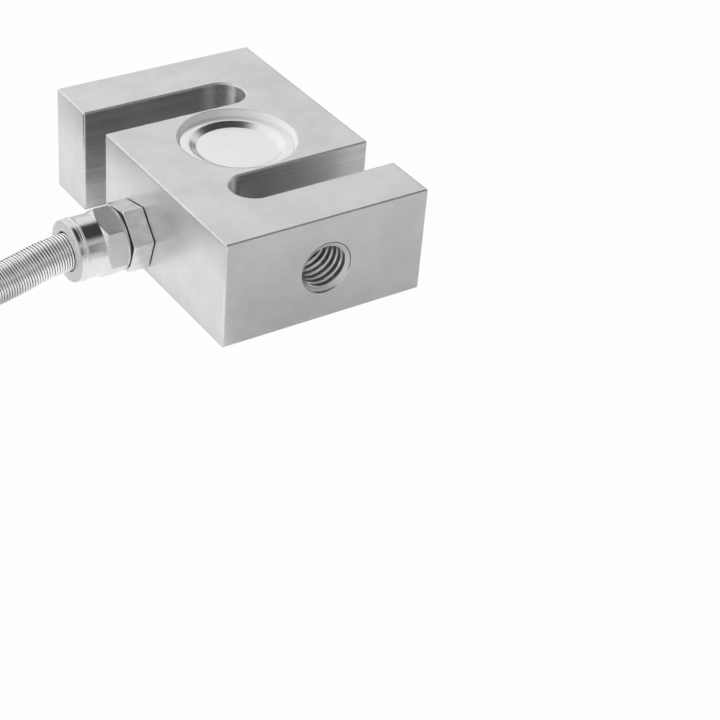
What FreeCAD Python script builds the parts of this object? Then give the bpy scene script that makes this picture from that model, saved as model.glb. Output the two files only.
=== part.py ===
import FreeCAD, Part
import math
import os

from FreeCAD import Placement, Rotation, Vector

# An S-type load cell lying on one wide face, with its cable gland, spring guard and coiled cable.
# Millimetres.  X runs across the width, Y along the load axis and Z through the thickness.
# The origin is the centre of the wide face that the cell lies on.

# ---------------------------------------------------------------- S-shaped elastic body
BODY_WIDTH = 50.8
BODY_HEIGHT = 76.2
BODY_THICKNESS = 25.4
EDGE_CHAMFER = 0.25
SLOT_WIDTH = 10.4
SLOT_OFFSET = 19.6           # from the body's centre to a slot's middle, along the load axis
SLOT_PAST_CENTRE = 13.0      # how far a slot's round end lies past the load axis

# M12 load threads, bored at their major diameter: the thread's ridge is not part of this model
LOAD_THREAD_RADIUS = 6.0
LOAD_MOUTH_CHAMFER = 0.3

# ---------------------------------------------------------------- gauge pockets and their sealing cups
RECESS_RADIUS = 13.5         # the stepped recess where it meets the wide face
SEAT_RADIUS = 12.8           # the same recess at the cup's flange
RECESS_DEPTH = 1.5           # from the wide face down to the top of the cup's flange
CUP_SHEET = 0.5
CUP_FIT = 0.05
CUP_RIM_RADIUS = 10.8
CUP_FLOOR_RADIUS = 9.1
CUP_FLOOR_DEPTH = 2.5        # from the wide face down to the cup's floor
CUP_RIM_BEND = 1.2           # radius over the bend from the flange into the wall
CUP_FLOOR_BEND = 0.35        # radius in the bend from the wall into the floor
POCKET_CLEARANCE = 0.5
CUT_PAST = 1.0               # how far a cutting shape stands out of what it cuts
WEB_THICKNESS = 4.0          # the thin shear web left between the two pockets
WEB_HOLE_RADIUS = 1.2
WEB_HOLE_OFFSET = 7.6

# ---------------------------------------------------------------- bonded parts on the web
GAUGE_LENGTH = 5.0
GAUGE_WIDTH = 4.0
GAUGE_FOIL = 0.12
GAUGE_SPACING = 6.6
STRIP_WIDTH = 3.2
STRIP_LENGTH = 8.0
STRIP_THICKNESS = 0.8
STRIP_OFFSET = 8.6
RESISTOR_RADIUS = 0.7
RESISTOR_LENGTH = 2.6
RESISTOR_SPACING = 4.0
PAD_INSET = 0.8              # from a strip's long edges to its solder pads
PAD_PITCH = 1.3
BRIDGE_WIRE_RADIUS = 0.22
BRIDGE_WIRE_PITCH = 0.65
BRIDGE_WIRE_COUNT = 3
BRIDGE_WIRE_ARCH = 2.0
GAUGE_LEAD_RADIUS = 0.15
GAUGE_LEAD_ARCH = 0.9
CORE_PAD_START = -3.3        # the first cable core's solder pad along the lower strip
CORE_RISE = 0.75             # of a core's axis from the gland's, inside the wire bore
CORE_DROP = 1.0              # of the nearer cores' bends below the lower strip

# ---------------------------------------------------------------- cable gland on the side face
PORT_OFFSET = -0.8           # along the load axis, from the body's centre
PORT_HEIGHT = 8.2            # its axis leads into the lower pocket, clear of the web
PORT_THREAD_RADIUS = 4.0
PORT_DEPTH = 8.0
WIRE_BORE_RADIUS = 2.2
THREAD_FIT = 0.05
GASKET_RADIUS = 6.4
GASKET_THICKNESS = 0.2
HEX_ACROSS_FLATS = 14.0
HEX_CORNER_ROUND = 0.2
HEX_CHAMFER_ANGLE = 35.0     # the chamfers at the hexagons' ends, in degrees from the end faces
HEX_BLANK_MARGIN = 0.2       # how far the turned blank stands outside the hexagon's corners
BASE_HEX_END = 5.0           # distances along the gland are from the body's side face
BASE_HEX_ANGLE = 47.7        # direction of one hexagon corner about the gland's axis, in degrees
BASE_HEX_FACE_RADIUS = 7.8   # the base hexagon's outer end face, inside its chamfer
O_RING_THICKNESS = 0.5
O_RING_RADIUS = 6.95
SPIGOT_RADIUS = 5.6
SPIGOT_END = 10.6
NUT_WASHER_RADIUS = 7.1      # the round face that the nut turns on the sealing ring
NUT_WASHER_LENGTH = 0.45
NUT_HEX_FACE_RADIUS = 7.25   # the nut's hexagon where it meets that round face
NUT_HEX_END = 11.0
NUT_HEX_ANGLE = 17.5
NUT_ROUND_RADIUS = 7.0
BEAD_CENTRE = 15.5
BEAD_WIDTH = 0.6
BEAD_HEIGHT = 0.18
GROOVE_CENTRE = 16.2
GROOVE_WIDTH = 0.3
GROOVE_DEPTH = 0.12
NOSE_END = 17.6
NOSE_FILLET = 0.5
NOSE_BORE_RADIUS = 4.5
NOSE_MOUTH_CHAMFER = 0.1
COLLAR_START = 13.4
COLLAR_FLANGE = 0.8
COLLAR_SLEEVE_RADIUS = 3.4
COLLAR_SLEEVE_LENGTH = 3.0
NUT_INNER_FIT = 0.1

# ---------------------------------------------------------------- cable and its spring guard
CABLE_RADIUS = 2.5
CABLE_FIT = 0.15
GUARD_RADIUS = 4.25
GUARD_WIRE = 0.65
FERRULE_RADIUS = 4.75
FERRULE_GRIP = 4.0           # length of the ferrule that covers the end of the spring guard
FERRULE_WALL = 1.2
FERRULE_CHAMFER = 0.6
FERRULE_FIT = 0.12
ROUTE_START = 15.0           # where the cable and its guard begin to bend, from the side face
REST_GAP = 0.1               # under the guard and the cable where they lie on the surface
CORNER_SHARE = 0.45          # share of the shorter run that a bend takes on each side of its point

# ---------------------------------------------------------------- coil of spare cable, its ties and its end
COIL_CENTRE = (-62.6, 51.8)  # from the point where the gland's axis meets the side face
COIL_INNER_TURN = 19.0
COIL_TURN_PITCH = 5.0
COIL_TURNS_PER_LAYER = 5
COIL_LAYERS = 2
COIL_LAYER_PITCH = 5.05
COIL_CORNER_RADIUS = 2.0
TIE_THICKNESS = 1.0
TIE_WIDTH = 4.0
TIE_ANGLES = (60.0, 240.0)
TIE_HEAD = (6.0, 5.6, 4.0)   # the lock's length across the coil, its width and its height
TIE_HEAD_CHAMFER = 0.6
SLEEVE_WALL = 0.45
SLEEVE_LENGTH = 12.0
SLEEVE_OVERHANG = 5.0        # part of the end sleeve that covers the leads and not the jacket
SLEEVE_FIT = 0.02
SLEEVE_SHOULDER = 0.5        # past the jacket's end, where the sleeve begins to shrink in
SLEEVE_NECK = 1.6            # past the jacket's end, where it has shrunk onto the leads
LEAD_RADIUS = 0.65
LEAD_SPREAD = 1.0            # from the cable's axis to a lead's axis inside the sleeve
LEAD_FIT = 0.1
TIP_RADIUS = 0.42
TIP_LENGTH = 6.0

# ---------------------------------------------------------------- sizes that follow from those above
SLOT_RADIUS = SLOT_WIDTH / 2
HALF_WIDTH = BODY_WIDTH / 2
HALF_HEIGHT = BODY_HEIGHT / 2
MID_THICKNESS = BODY_THICKNESS / 2
SLOT_END_CENTRE = SLOT_PAST_CENTRE - SLOT_RADIUS
SLOT_INNER_EDGE = SLOT_OFFSET - SLOT_RADIUS
SLOT_OUTER_EDGE = SLOT_OFFSET + SLOT_RADIUS
ARM_THICKNESS = HALF_HEIGHT - SLOT_OUTER_EDGE
POCKET_RADIUS = CUP_RIM_RADIUS + POCKET_CLEARANCE
POCKET_DEPTH = MID_THICKNESS - WEB_THICKNESS / 2
WEB_TOP = MID_THICKNESS + WEB_THICKNESS / 2
WEB_BOTTOM = MID_THICKNESS - WEB_THICKNESS / 2
CABLE_BORE_RADIUS = CABLE_RADIUS + CABLE_FIT
HEX_BLANK_RADIUS = HEX_ACROSS_FLATS / math.sqrt(3) + HEX_BLANK_MARGIN
NUT_START = BASE_HEX_END + O_RING_THICKNESS
NUT_BORE_RADIUS = SPIGOT_RADIUS + THREAD_FIT
COLLAR_END = COLLAR_START + COLLAR_FLANGE
NUT_SHOULDER = COLLAR_END + NUT_INNER_FIT
GUARD_REST = max(GUARD_RADIUS, FERRULE_RADIUS) + REST_GAP
CABLE_REST = CABLE_RADIUS + REST_GAP
SLEEVE_REST = CABLE_REST + SLEEVE_WALL
COIL_OUTER_TURN = COIL_INNER_TURN + (COIL_TURNS_PER_LAYER - 1) * COIL_TURN_PITCH
COIL_INNER_RADIUS = COIL_INNER_TURN - CABLE_RADIUS
COIL_OUTER_RADIUS = COIL_OUTER_TURN + CABLE_RADIUS
COIL_BOTTOM = TIE_THICKNESS
COIL_TOP = COIL_BOTTOM + 2 * CABLE_RADIUS + (COIL_LAYERS - 1) * COIL_LAYER_PITCH
FIRST_LAYER = COIL_BOTTOM + CABLE_RADIUS
LAST_LAYER = FIRST_LAYER + (COIL_LAYERS - 1) * COIL_LAYER_PITCH

# The cable's way from the gland to the coil.  Each point is its distance from the side face, its place
# along the load axis from the gland's axis, and its height above the surface that the cell lies on.
ROUTE = (
    (ROUTE_START, 0.0, PORT_HEIGHT),
    (20.8, 0.0, PORT_HEIGHT),
    (32.2, -1.1, 5.7),
    (46.6, -3.2, GUARD_REST),
    (65.0, -4.6, GUARD_REST),
    (81.5, -2.0, GUARD_REST),
    (95.0, 8.0, CABLE_REST + 0.3),
    (102.6, 24.0, CABLE_REST + 0.1),
    (100.3, 41.7, FIRST_LAYER),
)
GUARD_END_RUN = 4            # the guard ends half way along this run of the route, counted from 0

# The cable's free end, from the coil's last turn, given in the same way.
TAIL = (
    (99.2, 65.1, LAST_LAYER),
    (94.6, 79.0, 7.9),
    (87.0, 91.5, CABLE_REST + 1.2),
    (75.4, 100.0, SLEEVE_REST),
    (61.0, 103.4, SLEEVE_REST),
    (47.4, 102.0, SLEEVE_REST),
)

# Each bare lead's ways out of the end sleeve: sideways and upwards at its middle and at its tip.
LEADS = {
    "lead_red": (1, 1, (3.2, 0.6), (8.5, -1.0)),
    "lead_black": (-1, 1, (-2.6, 0.7), (-9.0, -1.0)),
    "lead_green": (1, -1, (1.6, -0.7), (3.4, -0.9)),
    "lead_white": (-1, -1, (-1.6, -0.7), (-3.8, -0.9)),
}
LEAD_STEPS = (6.0, 14.0, 26.0)


# ---------------------------------------------------------------- building blocks
def port_point(distance, sideways, height):
    """Return a point given from the side face, along the load axis and above the resting surface."""
    return Vector(-HALF_WIDTH - distance, PORT_OFFSET + sideways, height)


def polygon_face(points):
    """Return a flat face bounded by a closed polygon."""
    corners = [Vector(*point) for point in points]
    return Part.Face(Part.makePolygon(corners + corners[:1]))


def turned_on_z(profile):
    """Return the solid turned about +Z from a closed profile of (radius, height) points."""
    face = polygon_face([(radius, 0, height) for radius, height in profile])
    return face.revolve(Vector(0, 0, 0), Vector(0, 0, 1), 360)


def on_port_axis(shape):
    """Move a shape drawn along +Z, from 0 at the side face, onto the gland's axis pointing outwards."""
    placed = shape.copy()
    placed.Placement = Placement(
        port_point(0, 0, PORT_HEIGHT), Rotation(Vector(0, 0, 1), Vector(-1, 0, 0))
    ).multiply(placed.Placement)
    return placed


def ring(outer_radius, inner_radius, start, end):
    """Return a plain ring about +Z between two heights."""
    return turned_on_z(
        [(inner_radius, start), (outer_radius, start), (outer_radius, end), (inner_radius, end)]
    )


def hexagon_prism(across_flats, start, end, corner_angle):
    """Return a hexagonal prism, its corners rounded, with one of them at the given angle."""
    corner_radius = across_flats / math.sqrt(3)
    # On the gland's axis +X of a drawn shape points up and +Y points along the load axis.
    angles = [math.radians(corner_angle + 60 * corner) for corner in range(6)]
    corners = [
        (corner_radius * math.sin(angle), corner_radius * math.cos(angle), start) for angle in angles
    ]
    prism = polygon_face(corners).extrude(Vector(0, 0, end - start))
    upright = [edge for edge in prism.Edges if edge.BoundBox.ZLength > (end - start) / 2]
    return prism.makeFillet(HEX_CORNER_ROUND, upright)


def circle_edges(shape, radius, height):
    """Return a shape's circular edges about +Z that have a given radius and height."""
    return [
        edge
        for edge in shape.Edges
        if isinstance(edge.Curve, Part.Circle)
        and abs(edge.Curve.Radius - radius) < 1e-4
        and abs(edge.Curve.Center.z - height) < 1e-4
    ]


def rounded_route(points):
    """Return the edges of straight runs joined by tangent arcs, and the radius of each arc."""
    edges = []
    radii = []
    start = points[0]
    for before, corner, after in zip(points, points[1:], points[2:]):
        incoming = (corner - before).normalize()
        outgoing = (after - corner).normalize()
        half_turn = incoming.getAngle(outgoing) / 2
        reach = CORNER_SHARE * min((corner - before).Length, (after - corner).Length)
        radius = reach / math.tan(half_turn)
        arc_start = corner - incoming * reach
        arc_end = corner + outgoing * reach
        inward = (outgoing - incoming).normalize()
        middle = corner + inward * (radius / math.cos(half_turn) - radius)
        edges.append(Part.LineSegment(start, arc_start).toShape())
        edges.append(Part.Arc(arc_start, middle, arc_end).toShape())
        radii.append(radius)
        start = arc_end
    edges.append(Part.LineSegment(start, points[-1]).toShape())
    return edges, radii


def swept_tube(edges, radius):
    """Return the round solid of one radius that follows a chain of edges."""
    first = edges[0]
    start = first.valueAt(first.FirstParameter)
    direction = first.tangentAt(first.FirstParameter)
    section = Part.Wire(Part.Circle(start, direction, radius).toShape())
    return Part.Wire(edges).makePipeShell([section], True, False)


def round_wire(points, radius):
    """Return a round solid along a route of points with rounded corners."""
    edges, _ = rounded_route([Vector(*point) for point in points])
    return swept_tube(edges, radius)


def first_solid(shape):
    """Return the largest solid of a shape."""
    return max(shape.Solids, key=lambda solid: solid.Volume)


# ---------------------------------------------------------------- the elastic body
def s_outline():
    """Return the S-shaped face: a rectangle with a slot from each side, both with round ends."""
    end = SLOT_END_CENTRE
    lower_right = [
        Vector(-HALF_WIDTH, -HALF_HEIGHT, 0),
        Vector(HALF_WIDTH, -HALF_HEIGHT, 0),
        Vector(HALF_WIDTH, -SLOT_OUTER_EDGE, 0),
        Vector(-end, -SLOT_OUTER_EDGE, 0),
    ]
    edges = []
    for side in (1, -1):
        corners = [corner * side for corner in lower_right]
        slot_tip = Vector(-SLOT_PAST_CENTRE, -SLOT_OFFSET, 0) * side
        slot_return = Vector(-end, -SLOT_INNER_EDGE, 0) * side
        mouth = Vector(HALF_WIDTH, -SLOT_INNER_EDGE, 0) * side
        next_start = lower_right[0] * -side
        edges += [Part.LineSegment(a, b).toShape() for a, b in zip(corners, corners[1:])]
        edges.append(Part.Arc(corners[-1], slot_tip, slot_return).toShape())
        edges.append(Part.LineSegment(slot_return, mouth).toShape())
        edges.append(Part.LineSegment(mouth, next_start).toShape())
    return Part.Face(Part.Wire(edges))


def gauge_pocket():
    """Return what is cut away for one gauge pocket, drawn from a wide face at 0 down along -Z."""
    seat = RECESS_DEPTH + CUP_SHEET
    return turned_on_z(
        [
            (0, CUT_PAST),
            (RECESS_RADIUS, CUT_PAST),
            (RECESS_RADIUS, 0),
            (SEAT_RADIUS, -RECESS_DEPTH),
            (SEAT_RADIUS, -seat),
            (POCKET_RADIUS, -seat),
            (POCKET_RADIUS, -POCKET_DEPTH),
            (0, -POCKET_DEPTH),
        ]
    )


def onto_upper_face(shape):
    """Move a shape drawn from 0 down along -Z onto the upper wide face."""
    placed = shape.copy()
    placed.translate(Vector(0, 0, BODY_THICKNESS))
    return placed


def onto_lower_face(shape):
    """Turn a shape drawn from 0 down along -Z over onto the lower wide face."""
    placed = shape.copy()
    placed.rotate(Vector(0, 0, 0), Vector(1, 0, 0), 180)
    return placed


def load_hole(side):
    """Return what is cut away for the load thread of one end, from its mouth into the slot behind."""
    chamfer = LOAD_MOUTH_CHAMFER
    hole = turned_on_z(
        [
            (0, -CUT_PAST),
            (LOAD_THREAD_RADIUS + chamfer, -CUT_PAST),
            (LOAD_THREAD_RADIUS + chamfer, 0),
            (LOAD_THREAD_RADIUS, chamfer),
            (LOAD_THREAD_RADIUS, ARM_THICKNESS + SLOT_RADIUS),
            (0, ARM_THICKNESS + SLOT_RADIUS),
        ]
    )
    hole.Placement = Placement(
        Vector(0, side * HALF_HEIGHT, MID_THICKNESS), Rotation(Vector(0, 0, 1), Vector(0, -side, 0))
    )
    return hole


def s_body():
    """Return the elastic body: one machined block with slots, load threads, pockets and a cable port."""
    block = s_outline().extrude(Vector(0, 0, BODY_THICKNESS))
    block = block.makeChamfer(EDGE_CHAMFER, sharp_edges(block))
    wire_bore_length = HALF_WIDTH - POCKET_RADIUS / 2
    port = Part.makeCylinder(PORT_THREAD_RADIUS, PORT_DEPTH + CUT_PAST, Vector(0, 0, -PORT_DEPTH))
    wire_bore = Part.makeCylinder(WIRE_BORE_RADIUS, wire_bore_length, Vector(0, 0, -wire_bore_length))
    web_hole = Part.makeCylinder(
        WEB_HOLE_RADIUS, BODY_THICKNESS / 2, Vector(0, WEB_HOLE_OFFSET, BODY_THICKNESS / 4)
    )
    return first_solid(
        block.cut(
            [
                load_hole(1),
                load_hole(-1),
                onto_upper_face(gauge_pocket()),
                onto_lower_face(gauge_pocket()),
                on_port_axis(port),
                on_port_axis(wire_bore),
                web_hole,
            ]
        )
    )


def sharp_edges(block):
    """Return every edge of the S-shaped prism but the seams where a flat runs on into a round end."""
    sharp = []
    for edge in block.Edges:
        upright = abs(edge.BoundBox.ZLength - BODY_THICKNESS) < 1e-4
        at_round_end = abs(abs(edge.CenterOfMass.x) - SLOT_END_CENTRE) < 1e-4
        if not (upright and at_round_end):
            sharp.append(edge)
    return sharp


def sealing_cup():
    """Return one pressed sealing cup, drawn below a wide face at 0, with bent and not sharp corners."""
    rise = CUP_FLOOR_DEPTH - RECESS_DEPTH
    wall_angle = math.atan2(rise, CUP_RIM_RADIUS - CUP_FLOOR_RADIUS)
    shift = CUP_SHEET * math.tan(wall_angle / 2)
    flange_radius = SEAT_RADIUS - CUP_FIT
    flange_under = -RECESS_DEPTH - CUP_SHEET
    floor_under = -CUP_FLOOR_DEPTH - CUP_SHEET
    cup = turned_on_z(
        [
            (0, -CUP_FLOOR_DEPTH),
            (CUP_FLOOR_RADIUS, -CUP_FLOOR_DEPTH),
            (CUP_RIM_RADIUS, -RECESS_DEPTH),
            (flange_radius, -RECESS_DEPTH),
            (flange_radius, flange_under),
            (CUP_RIM_RADIUS + shift, flange_under),
            (CUP_FLOOR_RADIUS + shift, floor_under),
            (0, floor_under),
        ]
    )
    bends = (
        (CUP_RIM_RADIUS, -RECESS_DEPTH, CUP_RIM_BEND),
        (CUP_RIM_RADIUS + shift, flange_under, CUP_RIM_BEND - CUP_SHEET),
        (CUP_FLOOR_RADIUS, -CUP_FLOOR_DEPTH, CUP_FLOOR_BEND),
        (CUP_FLOOR_RADIUS + shift, floor_under, CUP_FLOOR_BEND + CUP_SHEET),
    )
    for radius, height, bend in bends:
        cup = cup.makeFillet(bend, circle_edges(cup, radius, height))
    return first_solid(cup)


# ---------------------------------------------------------------- bonded parts inside the pockets
def web_face(side):
    """Return the height of the web's upper face for side 1, or of its lower face for side -1."""
    return WEB_TOP if side > 0 else WEB_BOTTOM


def slab(length_x, length_y, thickness, centre_x, centre_y, side, angle=0.0):
    """Return a thin plate that lies flat on one face of the web."""
    base = web_face(side) - (0 if side > 0 else thickness)
    plate = Part.makeBox(length_x, length_y, thickness, Vector(-length_x / 2, -length_y / 2, base))
    plate.rotate(Vector(0, 0, 0), Vector(0, 0, 1), angle)
    plate.translate(Vector(centre_x, centre_y, 0))
    return plate


def strain_gauge(side, hand):
    """Return one foil gauge, turned 45 degrees to the load axis to read the web's shear."""
    centre = hand * GAUGE_SPACING / 2
    return slab(GAUGE_LENGTH, GAUGE_WIDTH, GAUGE_FOIL, centre, 0, side, 45 * hand)


def terminal_strip(side):
    """Return the small solder strip beside the gauges on one face of the web."""
    return slab(STRIP_WIDTH, STRIP_LENGTH, STRIP_THICKNESS, -STRIP_OFFSET, 0, side)


def trim_resistor(hand):
    """Return one of the resistors that trim the bridge, lying on the lower terminal strip."""
    under = WEB_BOTTOM - STRIP_THICKNESS - RESISTOR_RADIUS
    near_edge = -STRIP_OFFSET + STRIP_WIDTH / 2 - RESISTOR_RADIUS
    middle = hand * RESISTOR_SPACING / 2
    base = Vector(near_edge, middle - RESISTOR_LENGTH / 2, under)
    return Part.makeCylinder(RESISTOR_RADIUS, RESISTOR_LENGTH, base, Vector(0, 1, 0))


def bridge_wires():
    """Return the wires that join both terminal strips through the hole in the web."""
    upper_pad = WEB_TOP + STRIP_THICKNESS
    lower_pad = WEB_BOTTOM - STRIP_THICKNESS
    pad_x = -STRIP_OFFSET - STRIP_WIDTH / 2 + PAD_INSET
    wires = []
    for index in range(BRIDGE_WIRE_COUNT):
        offset = (index - (BRIDGE_WIRE_COUNT - 1) / 2) * BRIDGE_WIRE_PITCH
        pad_y = STRIP_LENGTH / 2 - PAD_PITCH + offset
        wires.append(
            round_wire(
                [
                    (pad_x, pad_y, upper_pad),
                    (pad_x, pad_y, upper_pad + BRIDGE_WIRE_ARCH),
                    (offset, WEB_HOLE_OFFSET, upper_pad + BRIDGE_WIRE_ARCH),
                    (offset, WEB_HOLE_OFFSET, lower_pad - BRIDGE_WIRE_ARCH),
                    (pad_x, pad_y, lower_pad - BRIDGE_WIRE_ARCH),
                    (pad_x, pad_y, lower_pad),
                ],
                BRIDGE_WIRE_RADIUS,
            )
        )
    return Part.makeCompound(wires)


def gauge_leads():
    """Return the fine wires from each gauge to the terminal strip on its side of the web."""
    wires = []
    for side in (1, -1):
        face = web_face(side)
        strip_face = face + side * STRIP_THICKNESS
        pad_x = -STRIP_OFFSET + STRIP_WIDTH / 2 - PAD_INSET / 2
        for hand in (1, -1):
            arch = strip_face + side * (GAUGE_LEAD_ARCH + (1 + hand) * GAUGE_LEAD_RADIUS)
            tab_x = hand * GAUGE_SPACING / 2
            tab_y = -GAUGE_WIDTH / 4 - hand * GAUGE_WIDTH / 10
            pad_y = hand * 2 * GAUGE_LEAD_RADIUS
            wires.append(
                round_wire(
                    [
                        (tab_x, tab_y, face + side * GAUGE_FOIL),
                        (tab_x, tab_y, arch),
                        (pad_x, pad_y, arch),
                        (pad_x, pad_y, strip_face),
                    ],
                    GAUGE_LEAD_RADIUS,
                )
            )
    return Part.makeCompound(wires)


def inner_leads():
    """Return the cable's four cores, from the end of its jacket to the lower terminal strip."""
    jacket_end = -HALF_WIDTH + PORT_DEPTH
    bore_end = -POCKET_RADIUS
    pad_x = -STRIP_OFFSET - STRIP_WIDTH / 2 + PAD_INSET + TIP_RADIUS / 2
    strip_face = WEB_BOTTOM - STRIP_THICKNESS
    wires = []
    for index, (sideways, upwards) in enumerate(((-1, -1), (-1, 1), (1, 1), (1, -1))):
        y = PORT_OFFSET + sideways * LEAD_SPREAD
        z = PORT_HEIGHT + upwards * CORE_RISE
        bend = strip_face - CORE_DROP - (1 - upwards) * CORE_RISE
        pad_y = CORE_PAD_START + index * PAD_PITCH
        wires.append(
            round_wire(
                [
                    (jacket_end, y, z),
                    (bore_end, y, z),
                    (pad_x, pad_y, bend),
                    (pad_x, pad_y, strip_face),
                ],
                TIP_RADIUS,
            )
        )
    return Part.makeCompound(wires)


# ---------------------------------------------------------------- the cable gland
def chamfered_blank(start, end, start_radius, end_radius):
    """Return the turned blank that cuts a hexagon's corners back at both of its ends."""
    corner_radius = HEX_BLANK_RADIUS
    slope = math.tan(math.radians(HEX_CHAMFER_ANGLE))
    start_run = (corner_radius - start_radius) * slope
    end_run = (corner_radius - end_radius) * slope
    return turned_on_z(
        [
            (0, start),
            (start_radius, start),
            (corner_radius, start + start_run),
            (corner_radius, end - end_run),
            (end_radius, end),
            (0, end),
        ]
    )


def gland_gasket():
    """Return the rubber washer between the gland's hexagon and the side face."""
    return on_port_axis(ring(GASKET_RADIUS, PORT_THREAD_RADIUS + THREAD_FIT, 0, GASKET_THICKNESS))


def gland_body():
    """Return the gland's lower part: a threaded stem, a hexagon and a spigot, bored for the cable."""
    hexagon = hexagon_prism(HEX_ACROSS_FLATS, GASKET_THICKNESS, BASE_HEX_END, BASE_HEX_ANGLE)
    hexagon = hexagon.common(
        chamfered_blank(GASKET_THICKNESS, BASE_HEX_END, HEX_BLANK_RADIUS, BASE_HEX_FACE_RADIUS)
    )
    stem_radius = PORT_THREAD_RADIUS - THREAD_FIT
    stem = Part.makeCylinder(stem_radius, PORT_DEPTH + BASE_HEX_END / 2, Vector(0, 0, -PORT_DEPTH))
    spigot_start = BASE_HEX_END / 2
    spigot = Part.makeCylinder(SPIGOT_RADIUS, SPIGOT_END - spigot_start, Vector(0, 0, spigot_start))
    bore_start = -PORT_DEPTH - CUT_PAST
    bore_length = SPIGOT_END + CUT_PAST - bore_start
    bore = Part.makeCylinder(CABLE_BORE_RADIUS, bore_length, Vector(0, 0, bore_start))
    body = hexagon.fuse([stem, spigot]).cut(bore).removeSplitter()
    return on_port_axis(first_solid(body))


def gland_o_ring():
    """Return the ring that seals the clamping nut against the gland's hexagon."""
    return on_port_axis(ring(O_RING_RADIUS, SPIGOT_RADIUS + THREAD_FIT, BASE_HEX_END, NUT_START))


def gland_seal():
    """Return the rubber bush that the nut squeezes round the cable."""
    outer_radius = NUT_BORE_RADIUS - THREAD_FIT
    return on_port_axis(ring(outer_radius, CABLE_RADIUS + THREAD_FIT, SPIGOT_END, COLLAR_START))


def guard_collar():
    """Return the flanged collar that holds the spring guard inside the nut's shoulder."""
    flange_radius = NUT_BORE_RADIUS - THREAD_FIT
    bore_radius = CABLE_BORE_RADIUS
    return on_port_axis(
        turned_on_z(
            [
                (bore_radius, COLLAR_START),
                (flange_radius, COLLAR_START),
                (flange_radius, COLLAR_END),
                (COLLAR_SLEEVE_RADIUS, COLLAR_END),
                (COLLAR_SLEEVE_RADIUS, COLLAR_END + COLLAR_SLEEVE_LENGTH),
                (bore_radius, COLLAR_END + COLLAR_SLEEVE_LENGTH),
            ]
        )
    )


def gland_nut():
    """Return the clamping nut: a hexagon that runs on into a round, beaded cap with a rounded nose."""
    hex_start = NUT_START + NUT_WASHER_LENGTH
    hexagon = hexagon_prism(HEX_ACROSS_FLATS, hex_start, NUT_HEX_END, NUT_HEX_ANGLE)
    hexagon = hexagon.common(
        chamfered_blank(hex_start, NUT_HEX_END, NUT_HEX_FACE_RADIUS, NUT_ROUND_RADIUS)
    )
    washer = Part.makeCylinder(NUT_WASHER_RADIUS, NUT_WASHER_LENGTH, Vector(0, 0, NUT_START))
    cap = turned_on_z(
        [
            (0, hex_start),
            (SPIGOT_RADIUS, hex_start),
            (NUT_ROUND_RADIUS, NUT_HEX_END),
            (NUT_ROUND_RADIUS, BEAD_CENTRE - BEAD_WIDTH / 2),
            (NUT_ROUND_RADIUS + BEAD_HEIGHT, BEAD_CENTRE),
            (NUT_ROUND_RADIUS, BEAD_CENTRE + BEAD_WIDTH / 2),
            (NUT_ROUND_RADIUS, GROOVE_CENTRE - GROOVE_WIDTH / 2),
            (NUT_ROUND_RADIUS - GROOVE_DEPTH, GROOVE_CENTRE),
            (NUT_ROUND_RADIUS, GROOVE_CENTRE + GROOVE_WIDTH / 2),
            (NUT_ROUND_RADIUS, NOSE_END),
            (0, NOSE_END),
        ]
    )
    cap = cap.makeFillet(NOSE_FILLET, circle_edges(cap, NUT_ROUND_RADIUS, NOSE_END))
    mouth = NOSE_BORE_RADIUS + NOSE_MOUTH_CHAMFER
    bore = turned_on_z(
        [
            (0, NUT_START - CUT_PAST),
            (NUT_BORE_RADIUS, NUT_START - CUT_PAST),
            (NUT_BORE_RADIUS, NUT_SHOULDER),
            (NOSE_BORE_RADIUS, NUT_SHOULDER),
            (NOSE_BORE_RADIUS, NOSE_END - NOSE_MOUTH_CHAMFER),
            (mouth, NOSE_END),
            (mouth, NOSE_END + CUT_PAST),
            (0, NOSE_END + CUT_PAST),
        ]
    )
    return on_port_axis(first_solid(hexagon.fuse([washer, cap]).cut(bore).removeSplitter()))


# ---------------------------------------------------------------- the cable, its guard and its coil
def guard_route():
    """Return the guard's edges, the same as the cable's, from its collar to half way along one run."""
    points = [port_point(*point) for point in ROUTE]
    edges, _ = rounded_route(points)
    straight = edges[2 * GUARD_END_RUN]
    middle = straight.valueAt((straight.FirstParameter + straight.LastParameter) / 2)
    seat = port_point(COLLAR_END, 0, PORT_HEIGHT)
    first = edges[0]
    lead_in = Part.LineSegment(seat, first.valueAt(first.LastParameter)).toShape()
    end = Part.LineSegment(straight.valueAt(straight.FirstParameter), middle).toShape()
    return [lead_in] + edges[1:2 * GUARD_END_RUN] + [end], middle, straight.tangentAt(straight.FirstParameter)


def spring_guard():
    """Return the close-wound spring guard as a plain sleeve of its outer and inner diameters."""
    edges, _, _ = guard_route()
    outside = swept_tube(edges, GUARD_RADIUS)
    inside = swept_tube(edges, GUARD_RADIUS - GUARD_WIRE)
    return first_solid(outside.cut(inside))


def guard_ferrule():
    """Return the cup-shaped ferrule that closes the guard's far end round the cable."""
    _, end, direction = guard_route()
    grip_radius = GUARD_RADIUS + FERRULE_FIT
    ferrule = turned_on_z(
        [
            (CABLE_BORE_RADIUS, 0),
            (grip_radius, 0),
            (grip_radius, -FERRULE_GRIP),
            (FERRULE_RADIUS, -FERRULE_GRIP),
            (FERRULE_RADIUS, FERRULE_WALL - FERRULE_CHAMFER),
            (FERRULE_RADIUS - FERRULE_CHAMFER, FERRULE_WALL),
            (CABLE_BORE_RADIUS, FERRULE_WALL),
        ]
    )
    ferrule.Placement = Placement(end, Rotation(Vector(0, 0, 1), direction))
    return ferrule


def cable_entry():
    """Return the straight stretch of cable that the gland holds."""
    start = port_point(ROUTE_START, 0, PORT_HEIGHT)
    return Part.makeCylinder(CABLE_RADIUS, ROUTE_START + PORT_DEPTH, start, Vector(1, 0, 0))


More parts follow.
